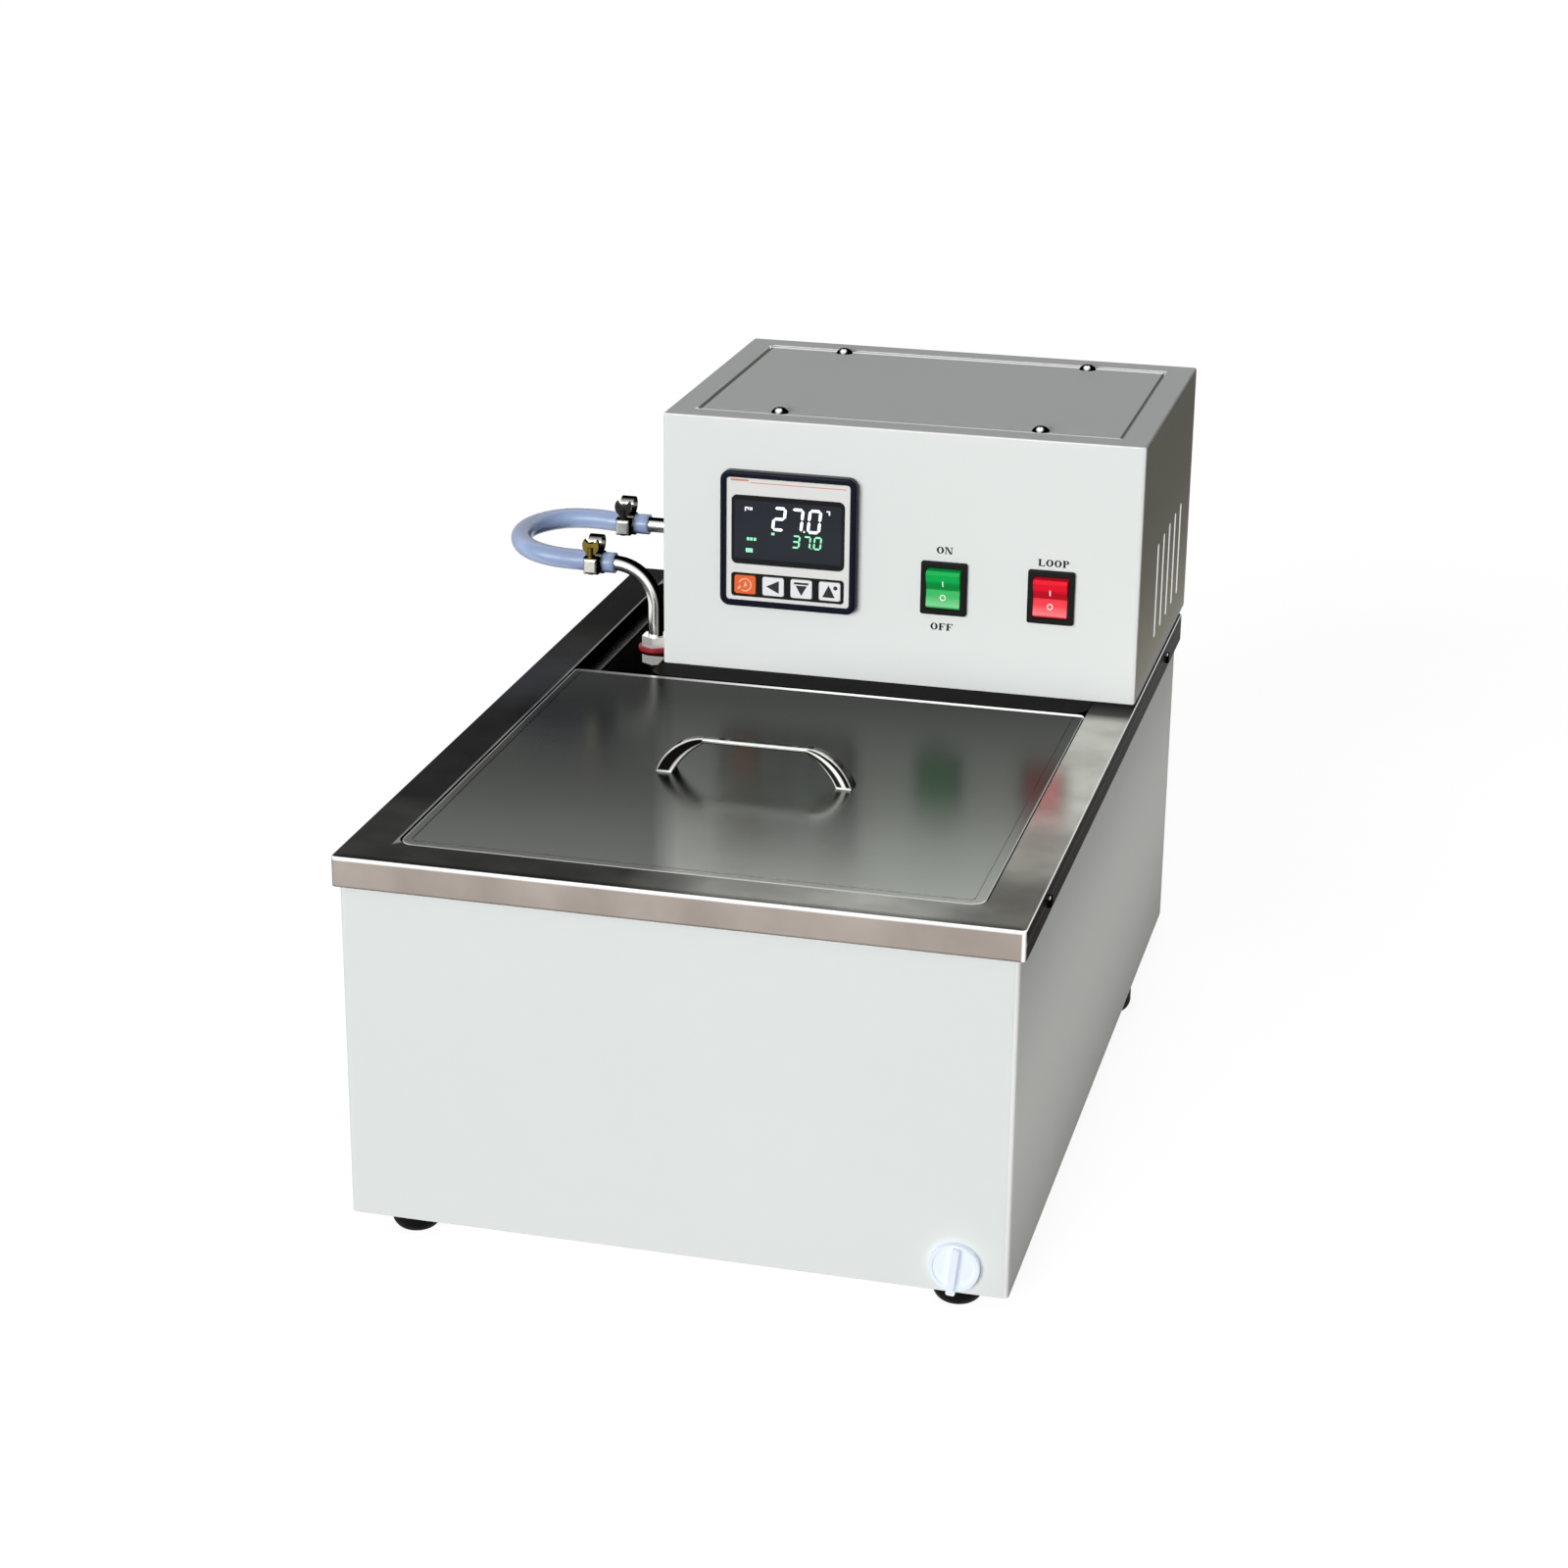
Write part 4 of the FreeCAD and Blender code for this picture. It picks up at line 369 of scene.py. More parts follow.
def lid_steel(s):
    """The lid's satin steel, with a painted glint glowing along its rear hem."""
    p = steel("satin_lid_steel", lid_tone, s.grain, (6, 0.12, 6), 0.19, 0.25, 0.000001)
    glint = p.add("Math", {"operation": "MULTIPLY", 0: rear_hem_glint(p), 1: 0.6})
    return p.wear({"Emission Color": WHITE, "Emission Strength": glint})


def even_tone(code):
    """One colour all over, with faint patches."""
    def tone(p):
        noise = p.add("TexNoise", {"Vector": p.place, "Scale": 25.0}, "Fac")
        return p.layers(darker(linear(code), 0.86), (noise, code))
    return tone


def facing_glint_tone(low, high, start, end, way=(-0.3, -0.9, -0.1)):
    """A tone for polished round stock in painted reflection: light where it faces one way or its opposite,
    and dark between them."""
    def tone(p):
        either = p.add("Math", {"operation": "ABSOLUTE", 0: p.facing(way)})
        return p.layers(low, (p.along(either, start, end), high))
    return tone


def arc_reach(p, away, across, up, radius):
    """How far a point lies outside an arc, whose centre is across from the handle's middle and up from the
    lid, and which is mirrored on the other leg."""
    centre = (across * MM, 0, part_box("lid_handle")[0].z + up * MM)
    point = p.add("CombineXYZ", {"X": away, "Z": p.spot["Z"]})
    gap = p.add("VectorMath", {"operation": "DISTANCE", 0: point, 1: centre}, "Value")
    return p.add("Math", {"operation": "SUBTRACT", 0: gap, 1: radius * MM})


def chrome_tone(p):
    """Polished plate in painted reflection: the legs' faces are painted dark between bright borders, with a
    bright streak down the right one, and the bar is painted white in front and grey on top."""
    low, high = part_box("lid_handle")
    middle = (low.x + high.x) / 2
    offset = p.add("Math", {"operation": "SUBTRACT", 0: p.spot["X"], 1: middle})
    away = p.add("Math", {"operation": "ABSOLUTE", 0: offset})
    inner, outer = arc_reach(p, away, *INNER_ARC), arc_reach(p, away, *OUTER_ARC)
    whole = p.add("Math", {"operation": "SUBTRACT", 0: inner, 1: outer})
    share = p.add("Math", {"operation": "DIVIDE", 0: inner, 1: whole})
    # Painted reflections on the legs' faces: dark between bright borders
    left = p.add("ValToRGB", {"Fac": share, "stops": (
        (0.0, "#A0A09E"), (0.22, "#A0A09E"), (0.3, "#0C0C0B"), (0.88, "#0C0C0B"), (0.95, "#8A8A88"))})
    right = p.add("ValToRGB", {"Fac": share, "stops": (
        (0.0, "#8A8A88"), (0.12, "#8A8A88"), (0.2, "#0E0E0C"), (0.4, "#161614"), (0.48, "#B0B0AE"),
        (0.62, "#B0B0AE"), (0.7, "#0C0C0B"), (0.86, "#0C0C0B"), (0.93, "#9A9A98"))})
    legs = p.layers(left, (p.along("X", middle - 0.001, middle + 0.001), right),
                    (p.along("Z", low.z + 0.0012, low.z + 0.0006), "#B0B0AE"))
    grip = p.layers("#1C1C1A", (p.along("Z", high.z - 0.0022, high.z - 0.0016), "#8C8C8A"))
    face = p.layers(grip, (p.along(away, 0.0252, 0.0262), legs))
    crown_reflection = p.add("ValToRGB", {"Fac": p.along("Y", low.y, high.y), "stops": (
        (0.0, WHITE), (0.3, "#E8E8E6"), (0.42, "#6E6E6C"), (0.8, "#6E6E6C"), (0.88, WHITE))})
    # Painted shade on faces that turn to the right and down
    return p.layers("#E4E4E2", (p.facing(UP, 0.55, 0.75), crown_reflection), (p.facing(RIGHT, 0.35, 0.6), "#3A3A38"),
                    (p.facing((0, 0, -1), 0.2, 0.4), "#30302E"), (p.facing(FRONT, 0.75, 0.9), face))


def plain(name, colour, low, high, spacing=0.0006, depth=0.000004, metallic=0.0, patches=0.06, more=()):
    """A moulded, cast or plated finish: one colour with faint patches, and a fine surface texture."""
    p = Finish(name, {"Metallic": metallic, "Specular IOR Level": 0.5 if metallic else 0.2, **dict(more)})
    p.shade(colour, 0.03, patches)
    p.roughen(spacing, depth, low, high)
    return p


def smoked_window(c):
    """Smoked acrylic: near black at its border, slate over the lit panel, and glossy."""
    p = Finish("smoked_acrylic", {"IOR": 1.49, "Specular IOR Level": 0.22})
    low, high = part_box("display_window")
    inside = [p.add("ValToRGB", {"Fac": p.along(axis, first, last), "stops": [
        (0.0, BLACK), (border, BLACK), (start, WHITE), (end, WHITE), (far, BLACK)]})
        for axis, first, last, border, start, end, far in (("X", low.x, high.x, 0.018, 0.03, 0.965, 0.98),
                                                           ("Z", low.z, high.z, 0.07, 0.09, 0.92, 0.94))]
    p.roughen(0.004, 0.000002, 0.12, 0.2)
    return p.wear({"Base Color": p.layers("#020305", (p.product(*inside), linear(c.screen)))})


def lit_lens(name, colour, rocker_name):
    """Translucent polycarbonate with a lamp behind, in painted shade and highlight: painted deep where it
    faces up, and painted paler towards its lower end.
    """
    p = Finish(name, {"IOR": 1.58, "Specular IOR Level": 0.2, "Subsurface Weight": 0.15,
                      "Subsurface Scale": 0.003, "Emission Strength": 0.18})
    low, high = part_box(rocker_name)
    # Painted shade and highlight: a deep band and a pale band up the lens
    deep, pale = darker(colour, 0.6), tuple(v + 0.14 for v in colour[:3]) + (1.0,)
    tone = p.add("ValToRGB", {"Fac": p.along("Z", low.z, high.z), "stops": (
        (0.0, colour), (0.05, pale), (0.12, pale), (0.34, colour), (0.44, colour), (0.52, deep), (0.64, deep),
        (0.76, colour))})
    p.roughen(0.0012, 0.000003, 0.16, 0.26)
    return p.wear({"Base Color": tone, "Emission Color": tone})


def clear_hose(c):
    """Soft clear tube with a bluish cast: light passes its wall, its outside is slightly greasy, and its
    colour is painted darker towards its outline, as shade.
    """
    p = Finish("soft_clear_tube", {"IOR": 1.42, "Transmission Weight": 0.2, "Specular IOR Level": 0.3})
    even = p.shade(c.hose, 0.02, 0.08)
    # Painted shade: darker towards the outline, as the tube is seen
    outline = p.add("ValToRGB", {"Fac": p.add("LayerWeight", out="Facing"), "stops": (
        (0.0, WHITE), (0.3, "#F2F5FF"), (0.6, "#A3B6DA"), (0.9, "#56688F"))})
    p.roughen(0.003, 0.00001, 0.18, 0.3)
    return p.wear({"Base Color": p.product(even, outline)})


def lit(name, colour, strength):
    """Matt and glowing, as lit segments behind a window, or as a pale cloth whose glow is painted light."""
    p = Finish(name, {"Roughness": 0.5, "Emission Color": linear(colour), "Emission Strength": strength})
    p.shade(colour, 0.002, 0.1)
    return p


def galvanised_sheet():
    """Galvanised steel: dull grey zinc with large faint crystals."""
    p = Finish("galvanised_sheet", {"Metallic": 0.8})
    cells = p.add("TexVoronoi", {"Vector": p.place, "Scale": 1 / 0.009}, "Distance")
    p.roughen(0.004, 0.000004, 0.4, 0.55)
    tone = p.add("ValToRGB", {"Fac": cells, "stops": ((0.0, "#8E9294"), (1.0, "#A9ACAD"))})
    return p.wear({"Base Color": tone})


def mineral_wool():
    """Mineral wool slab: matt, with tangled yellowish fibres."""
    p = Finish("mineral_wool", {"Sheen Weight": 0.3})
    fibres = p.add("TexNoise", {"Vector": p.place, "Scale": 1 / 0.002, "Detail": 6.0,
                                "Distortion": 2.0}, "Fac")
    p.roughen(0.0015, 0.0004, 0.85, 1.0)
    tone = p.add("ValToRGB", {"Fac": fibres, "stops": ((0.3, "#8A7E55"), (0.7, "#CFC494"))})
    return p.wear({"Base Color": tone})


def make_finishes(c, s):
    """Every finish of the object, by a short name."""
    fine = (1, 1, 1)
    dull, faint = {"Specular IOR Level": 0.06}, {"Specular IOR Level": 0.1}
    finishes = {
        "powder": powder_coat(c, s),
        # Sheet steel: brushed lines on the rim and the deck, satin on the lid, a mill finish in the tank
        "rim": steel("brushed_rim_steel", rim_tone, s.grain, (6, 0.12, 6), 0.18, 0.24, 0.000004, 0.45, 0.06),
        "lid": lid_steel(s),
        # The deck's near-black tone is painted shade under the head
        "deck": steel("brushed_deck_steel", even_tone("#161615"), s.grain, (0.12, 6, 6), 0.26, 0.36,
                      0.000004),
        "tank": steel("tank_steel", even_tone("#8A8A87"), s.grain, (2, 2, 0.1), 0.28, 0.4, 0.000008),
        "galvanised": galvanised_sheet(),
        # Drawn, plated and turned metal: mirror-like, bright towards the light and dark at its outline
        # Their light and dark are painted reflections, by the way each surface faces
        "pipe": steel("drawn_pipe_steel", facing_glint_tone("#0B0B0A", "#F8F7F4", 0.5, 0.7), 0.0008, fine, 0.12,
                      0.2, 0.000003, 0.0),
        "chrome": steel("chrome_plate", chrome_tone, 0.0006, fine, 0.05, 0.1, 0.000001, 0.6),
        "dome": steel("polished_screw_steel", facing_glint_tone("#070707", WHITE, 0.92, 0.975, (0.0, -0.6, 0.8)),
                      0.0006, fine, 0.1, 0.16, 0.000001, 0.0),
        "brass": steel("yellow_zinc_steel", facing_glint_tone("#14100A", "#6E5E2C", 0.45, 0.9), 0.002, fine, 0.24,
                       0.36, 0.000004, 0.0),
        "band": steel("zinc_steel_band", facing_glint_tone("#15140F", "#C6C5BE", 0.4, 0.75), 0.002, fine, 0.2, 0.3,
                      0.000003, 0.0),
        # Plated and raw metal with soft highlights: pale zinc and nickel, blackened steel, grey aluminium
        "screw": plain("zinc_plated_screw", "#A9AAA8", 0.2, 0.34, metallic=1.0),
        # The nickel's glow is painted light, brightening the nuts in the tank's shade
        "nickel": plain("nickel_plated_brass", "#DAD8D2", 0.2, 0.3, metallic=1.0,
                        more={"Emission Color": (1.0, 0.98, 0.95, 1.0), "Emission Strength": 0.3}),
        "dark_key": plain("blackened_steel", "#14120D", 0.3, 0.45, metallic=0.6, patches=0.3),
        "aluminium": plain("extruded_aluminium", "#B9BBBD", 0.3, 0.42, metallic=1.0),
        # Enamel, rubber and plastic: even colours with a dull sheen, which the glossier mouldings sharpen
        "motor": plain("motor_enamel", "#33363A", 0.4, 0.55, 0.0015, 0.00002),
        "rubber": plain("black_rubber", "#0B0B0A", 0.5, 0.65, 0.0009, 0.00001, more=dull),
        "silicone": plain("red_silicone", c.silicone, 0.34, 0.46),
        "case": plain("navy_moulding", c.case, 0.22, 0.34, more=faint),
        "fascia": plain("fascia_film", c.fascia, 0.36, 0.48, 0.0008, patches=0.02),
        "black": plain("black_nylon", "#0D0F0D", 0.34, 0.5, 0.0008, 0.00001, more=faint),
        "nylon": plain("natural_nylon", "#E4E2DA", 0.4, 0.5),
        "relay": plain("relay_moulding", "#D8D5C8", 0.42, 0.55),
        "orange": plain("orange_key_cap", c.key_orange, 0.3, 0.42),
        "grey": plain("grey_key_cap", c.key_grey, 0.3, 0.42),
        # The plug's glow is painted light, which softens its shading
        "plug": plain("plug_moulding", c.plug, 0.36, 0.5, patches=0.04,
                      more={"Emission Color": (0.86, 0.92, 1.0, 1.0), "Emission Strength": 0.3}),
        "window": smoked_window(c),
        "hose": clear_hose(c),
        # Fibres: tangled wool, and a screen cloth with a painted glow
        "wool": mineral_wool(),
        "cloth": lit("dust_screen_cloth", "#D2D1CA", 0.3),
    }
    for name, colour, node in (("green", c.green_lens, "power_rocker"), ("red", c.red_lens, "loop_rocker")):
        finishes[name] = lit_lens(name + "_lens", linear(colour), node)
    # Screen-printed inks, flat and matt
    for name, label, code in (("ink", "black_ink", "#060606"), ("key_ink", "grey_ink", "#2A2B2E"),
                              ("pale_ink", "pale_ink", "#F6BE9C"), ("line_ink", "orange_ink", "#E08466")):
        finishes[name] = plain(label, code, 0.5, 0.6)
    finishes["white_ink"] = plain("white_ink", "#F2F5F2", 0.4, 0.5)
    finishes["lit_white"] = lit("lit_white", c.lit_white, 0.9)
    finishes["lit_green"] = lit("lit_green", c.lit_green, 0.6)
    return {name: made.material for name, made in finishes.items()}


NODE_FINISHES = {
    "powder": "outer_casing head_housing head_top_cover", "cloth": "vent_screen", "rim": "top_rim",
    "lid": "lid", "deck": "rear_deck", "tank": "inner_tank drain_pipe pump_housing pump_column heater_tube",
    "pipe": "outlet_pipe return_pipe pump_shaft temperature_probe", "chrome": "lid_handle",
    "galvanised": "bottom_plate head_base_plate", "wool": "insulation", "screw": "foot_screws handle_screws",
    "dome": "cover_screws rim_screws", "nickel": "union_nuts immersion_glands",
    "band": "outlet_clamp_band return_clamp_band", "dark_key": "outlet_clamp_screw",
    "brass": "return_clamp_screw", "case": "controller_case", "fascia": "controller_fascia",
    "rubber": "foot_front_left foot_front_right foot_rear_left foot_rear_right key_pad outlet_grommet",
    "black": "key_bezel power_switch_body loop_switch_body motor_fan power_inlet fuse_holder",
    "window": "display_window", "orange": "run_key", "grey": "shift_key down_key up_key",
    "green": "power_rocker", "red": "loop_rocker", "silicone": "seal_ring", "plug": "drain_plug",
    "nylon": "impeller shaft_bush terminal_block", "motor": "pump_motor", "aluminium": "heat_sink",
    "relay": "relay",
}

# The materials, by their short names, once they are made
FINISHES = {}


# Surfaces

def piece(name, points, faces, finish, body, slot, smooth=False):
    """A mesh from an array of points in metres and a list of face arrays, riding on a body."""
    mesh = bpy.data.meshes.new(name)
    mesh.from_pydata(np.asarray(points).tolist(), [], [list(map(int, f)) for f in faces])
    mesh.validate()
    mesh.materials.append(FINISHES[finish])
    mesh.polygons.foreach_set("use_smooth", np.full(len(mesh.polygons), smooth))
    made = bpy.data.objects.new(name, mesh)
    bpy.context.scene.collection.objects.link(made)
    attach(made, body)
    return made


def slabs(outlines, place, thickness):
    """Thin plates from flat outlines, which run anticlockwise as seen from the front. place turns an array
    of (across, up) into points and their outward normal; each outline is lifted along it by the thickness,
    and joined to its own back by a band of quads."""
    points, faces, count = [], [], 0
    for outline in outlines:
        back, normal = place(np.asarray(outline, float))
        n = len(back)
        points += [back + normal * thickness, back]
        ring = np.arange(n)
        after = np.roll(ring, -1)
        faces.append(count + ring)
        faces.append(count + n + ring[::-1])
        faces += list(count + np.stack([ring, ring + n, after + n, after], 1))
        count += 2 * n
    return np.concatenate(points), faces


def upright(y):
    """Places (across, up) in millimetres on the plane y, facing the front."""
    def place(flat):
        points = np.stack([flat[:, 0], np.full(len(flat), y), flat[:, 1]], 1) * MM
        return points, np.array([0.0, -1.0, 0.0])
    return place


def ellipse(cx, cz, rx, rz, angle):
    """Points on an ellipse at angles in degrees, anticlockwise: the centre plus each radius times the
    cosine or the sine."""
    angle = np.radians(angle)
    return np.stack([cx + rx * np.cos(angle), cz + rz * np.sin(angle)], 1)


def bent_strip(cx, cz, rx, rz, wide_x, wide_z, start, end, count):
    """Quads along an elliptical band, from one angle to another, whose width may differ across and up."""
    angle = np.linspace(start, end, count)
    outer, inner = ellipse(cx, cz, rx, rz, angle), ellipse(cx, cz, rx - wide_x, rz - wide_z, angle)
    return list(np.stack([outer[:-1], outer[1:], inner[1:], inner[:-1]], 1))


def bars(*edges):
    """Upright rectangles from their left, right, low and high edges."""
    return [np.array([[x0, z0], [x1, z0], [x1, z1], [x0, z1]], float) for x0, x1, z0, z1 in edges]


# The lit segments of each digit, named in the usual order, from the top one clockwise to the middle one
SEGMENTS = {"0": "abcdef", "2": "abged", "3": "abgcd", "7": "abc"}


def digit(character, x, z, width, height, stroke, slant):
    """The lit segments of one digit: long hexagons on the sides of two stacked squares, which lean: a
    point's place across grows by a share of its height."""
    half = stroke / 2
    gap = stroke * 0.12
    middle = height / 2
    ends = {"a": ((0, height), (width, height)), "b": ((width, height), (width, middle)),
            "c": ((width, middle), (width, 0)), "d": ((0, 0), (width, 0)), "e": ((0, middle), (0, 0)),
            "f": ((0, height), (0, middle)), "g": ((0, middle), (width, middle))}
    shapes = []
    for segment in SEGMENTS[character]:
        start, end = (np.array(p, float) for p in ends[segment])
        way = (end - start) / np.linalg.norm(end - start)
        side = np.array([-way[1], way[0]])
        start, end = start + way * gap, end - way * gap
        outline = np.array([start, start + way * half - side * half, end - way * half - side * half, end,
                            end - way * half + side * half, start + way * half + side * half])
        outline[:, 0] += slant * outline[:, 1]
        shapes.append(outline + [x, z])
    return shapes


def reading(text, left, right, low, height, stroke):
    """A row of leaning digits between two edges, with a square point."""
    slant = 0.10
    digits = [k for k in text if k != "."]
    pitch = (right - left - slant * height) / (len(digits) - 0.12)
    width = pitch * 0.6
    shapes, x = [], left
    for character in text:
        if character == ".":
            dot = stroke * 0.55
            shapes += bars((x - pitch * 0.26, x - pitch * 0.26 + dot, low - dot / 2, low + dot / 2))
            continue
        shapes += digit(character, x, low, width, height, stroke, slant)
        x += pitch
    return shapes


# The widths of the capitals, as shares of their height
LETTERS = {"O": 1.02, "N": 1.1, "F": 0.92, "L": 0.96, "P": 0.92}


def letter(character, x, z, h):
    """A bold serif capital: thick stems, thin arms, short serifs and swelling bowls."""
    w, thick, thin, serif = LETTERS[character] * h, 0.3 * h, 0.11 * h, 0.09 * h
    arm, reach = 0.72 * w, thick + 2 * serif
    stem, foot, head = (serif, serif + thick, 0, h), (0, reach, 0, thin), (0, reach, h - thin, h)
    if character == "O":
        shapes = bent_strip(w / 2, h / 2, w / 2, h / 2, thick, thin, 0, 360, 33)
    elif character == "N":
        shapes = bars((serif, serif + thin, 0, h), (w - serif - thin, w - serif, 0, h))
        shapes += [np.array([[serif + thick, h], [w - serif, 0], [w - serif - thick, 0], [serif, h]])]
        shapes += bars((0, 2 * serif + thin, 0, thin), (0, serif + thick * 0.6, h - thin, h),
                       (w - 2 * serif - thin, w, h - thin, h))
    elif character == "L":
        shapes = bars(stem, (serif, w, 0, thin), (w - thin, w, 0, 0.28 * h), head)
    elif character == "F":
        shapes = bars(stem, (serif, w, h - thin, h), (w - thin, w, 0.74 * h, h),
                      (serif, arm, 0.48 * h, 0.48 * h + thin), (arm - thin, arm, 0.38 * h, 0.64 * h), foot)
    else:
        shapes = bars(stem, foot, head)
        shapes += bent_strip(serif + thick, 0.73 * h, w - serif - thick, 0.27 * h, thick, thin, -90, 90, 13)
    return [shape + [x, z] for shape in shapes]


def word(text, centre, low, size):
    """A row of capitals centred on one place."""
    space = 0.13 * size
    total = sum(LETTERS[k] * size for k in text) + space * (len(text) - 1)
    shapes, x = [], centre - total / 2
    for character in text:
        shapes += letter(character, x, low, size)
        x += LETTERS[character] * size + space
    return shapes


def sweep(path, radii, count):
    """A tube along a path: at each point an outer and an inner circle in the plane across the path, whose
    sideways axis stays level, so that it doesn't twist. Quads join the circles along both walls and at the
    ends."""
    way = np.gradient(path, axis=0)
    way /= np.linalg.norm(way, axis=1)[:, None]
    side = np.cross(way, [0.0, 0.0, 1.0])
    side /= np.linalg.norm(side, axis=1)[:, None]
    up = np.cross(side, way)
    angle = np.linspace(0, 2 * np.pi, count, endpoint=False)[None, :, None]
    ring = np.cos(angle) * side[:, None] + np.sin(angle) * up[:, None]
    points = np.concatenate([(path[:, None] + radius * ring).reshape(-1, 3) for radius in radii])
    wall, last = len(path) * count, (len(path) - 1) * count
    k = np.arange(count)
    after = np.roll(k, -1)
    row = np.arange(len(path) - 1)[:, None] * count
    outer = np.stack([row + k, row + after, row + count + after, row + count + k], -1).reshape(-1, 4)
    first_end = np.stack([k, k + wall, after + wall, after], 1)
    last_end = last + np.stack([k, after, after + wall, k + wall], 1)
    return points, np.concatenate([outer, outer[:, ::-1] + wall, first_end, last_end])


# The operators, one for each piece or group of like pieces

class WATERBATH_OT_stage(bpy.types.Operator):
    """Sets the camera, the soft lights, the white background and the pale floor"""
    bl_idname = "waterbath.stage"
    bl_label = "Stage"

    def execute(self, context):
        scene, stage = context.scene, context.scene.bath_stage
        scene.view_settings.view_transform = "Standard"
        self.camera(scene, stage)
        self.world(scene, stage)
        self.floor(scene, stage)
        self.lamps(scene)
        return {"FINISHED"}

    def camera(self, scene, stage):
        """The photograph's camera: its place, and its right, down and forward directions, as fitted."""
        data = bpy.data.cameras.new("photo_camera")
        data.lens = stage.lens
        data.sensor_width = 36.0
        data.clip_end = 100.0
        camera = bpy.data.objects.new("photo_camera", data)
        right = Vector((0.967972, 0.250868, 0.009770))
        down = Vector((0.096261, -0.334919, -0.937317))
        ahead = Vector((-0.231870, 0.908237, -0.348341))
        turn = Matrix((right, -down, -ahead)).transposed()
        place = Vector((0.372951, -1.260888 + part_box("top_rim")[0].y, 0.728851))
        camera.matrix_world = Matrix.Translation(place) @ turn.to_4x4()
        scene.collection.objects.link(camera)
        scene.camera = camera

    def seen(self, nodes):
        """1 for rays from the camera, from gloss and through clear plastic, and 0 for soft light."""
        rays = nodes.add("LightPath").node.outputs
        direct = nodes.add("Math", {"operation": "MAXIMUM", 0: rays["Is Camera Ray"],
                                    1: rays["Is Glossy Ray"]})
        return nodes.add("Math", {"operation": "MAXIMUM", 0: direct, 1: rays["Is Transmission Ray"]})

    def world(self, scene, stage):
        """White where it is seen, and a soft sky for the rest, brighter above and to the front left."""
        scene.world = bpy.data.worlds.new("studio")
        nodes = Nodes(scene.world)
        way = nodes.add("TexCoord", out="Generated")
        lean = nodes.add("VectorMath", {"operation": "DOT_PRODUCT", 0: way, 1: (-0.55, -0.35, 0.76)}, "Value")
        soft = nodes.add("MapRange", {"Value": lean, "From Min": -1.0, "To Max": stage.sky})
        dim = nodes.add("Background", {"Color": WHITE, "Strength": soft})
        white = nodes.add("Background", {"Color": WHITE, "Strength": 1.0})
        nodes.add("OutputWorld", {"Surface": nodes.add("MixShader", {0: self.seen(nodes), 1: dim, 2: white})})

    def floor(self, scene, stage):
        """A wide disc: matt and pale, with a glow that only seen rays meet, so that the shadow stays."""
        angle = np.linspace(0, 2 * np.pi, 64, endpoint=False)
        points = np.stack([np.cos(angle), np.sin(angle), np.zeros(64)], 1) * stage.floor_radius
        mesh = bpy.data.meshes.new("floor")
        mesh.from_pydata(points.tolist(), [], [list(range(64))])
        material = bpy.data.materials.new("pale_floor")
        nodes = Nodes(material)
        matt = nodes.add("BsdfDiffuse", {"Color": "#959595"})
        level = nodes.add("Math", {"operation": "MULTIPLY", 0: self.seen(nodes), 1: 0.9})
        glow = nodes.add("Emission", {"Color": WHITE, "Strength": level})
        nodes.add("OutputMaterial", {"Surface": nodes.add("AddShader", {0: matt, 1: glow})})
        mesh.materials.append(material)
        floor = bpy.data.objects.new("floor", mesh)
        scene.collection.objects.link(floor)

    def lamp(self, scene, name, kind, place, glossy=True, **settings):
        """Adds a lamp at a place, an object matrix, and says whether it shows in gloss."""
        data = bpy.data.lights.new(name, kind)
        for key, value in settings.items():
            setattr(data, key, value)
        made = bpy.data.objects.new(name, data)
        made.matrix_world = place
        made.visible_glossy = glossy
        scene.collection.objects.link(made)

    def lamps(self, scene):
        """A broad soft sun from the front left, a long low strip lamp that lights the casing's right side,
        and a weak low sun that fills the back."""
        front, rear = (Vector(way).to_track_quat("-Z", "Y").to_matrix().to_4x4()
                       for way in ((0.30, 0.92, -0.16), (0.25, -0.95, -0.03)))
        right = Matrix(((0, 0, 1, 0.62), (1, 0, 0, 0.0), (0, 1, 0, 0.092), (0, 0, 0, 1)))
        self.lamp(scene, "front_light", "SUN", front, energy=3.0, angle=math.radians(35))
        self.lamp(scene, "side_light", "AREA", right, False, shape="RECTANGLE", size=1.2, size_y=0.18,
                  spread=math.radians(30), energy=0.25, color=(1.0, 0.965, 0.93))
        self.lamp(scene, "rear_light", "SUN", rear, False, energy=0.9, angle=math.radians(14))


class WATERBATH_OT_finishes(bpy.types.Operator):
    """Gives every piece of the object its real material"""
    bl_idname = "waterbath.finishes"
    bl_label = "Finishes"

    def execute(self, context):
        scene = context.scene
        FINISHES.update(make_finishes(scene.bath_colours, scene.bath_sizes))
        bare = set(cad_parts) - {"circulation_hose"}
        for finish, nodes in NODE_FINISHES.items():
            for node in nodes.split():
                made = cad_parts[node]
                made.data.materials.clear()
                made.data.materials.append(FINISHES[finish])
                bare.remove(node)
        if bare:
            raise RuntimeError("no finish for " + ", ".join(sorted(bare)))
        return {"FINISHED"}


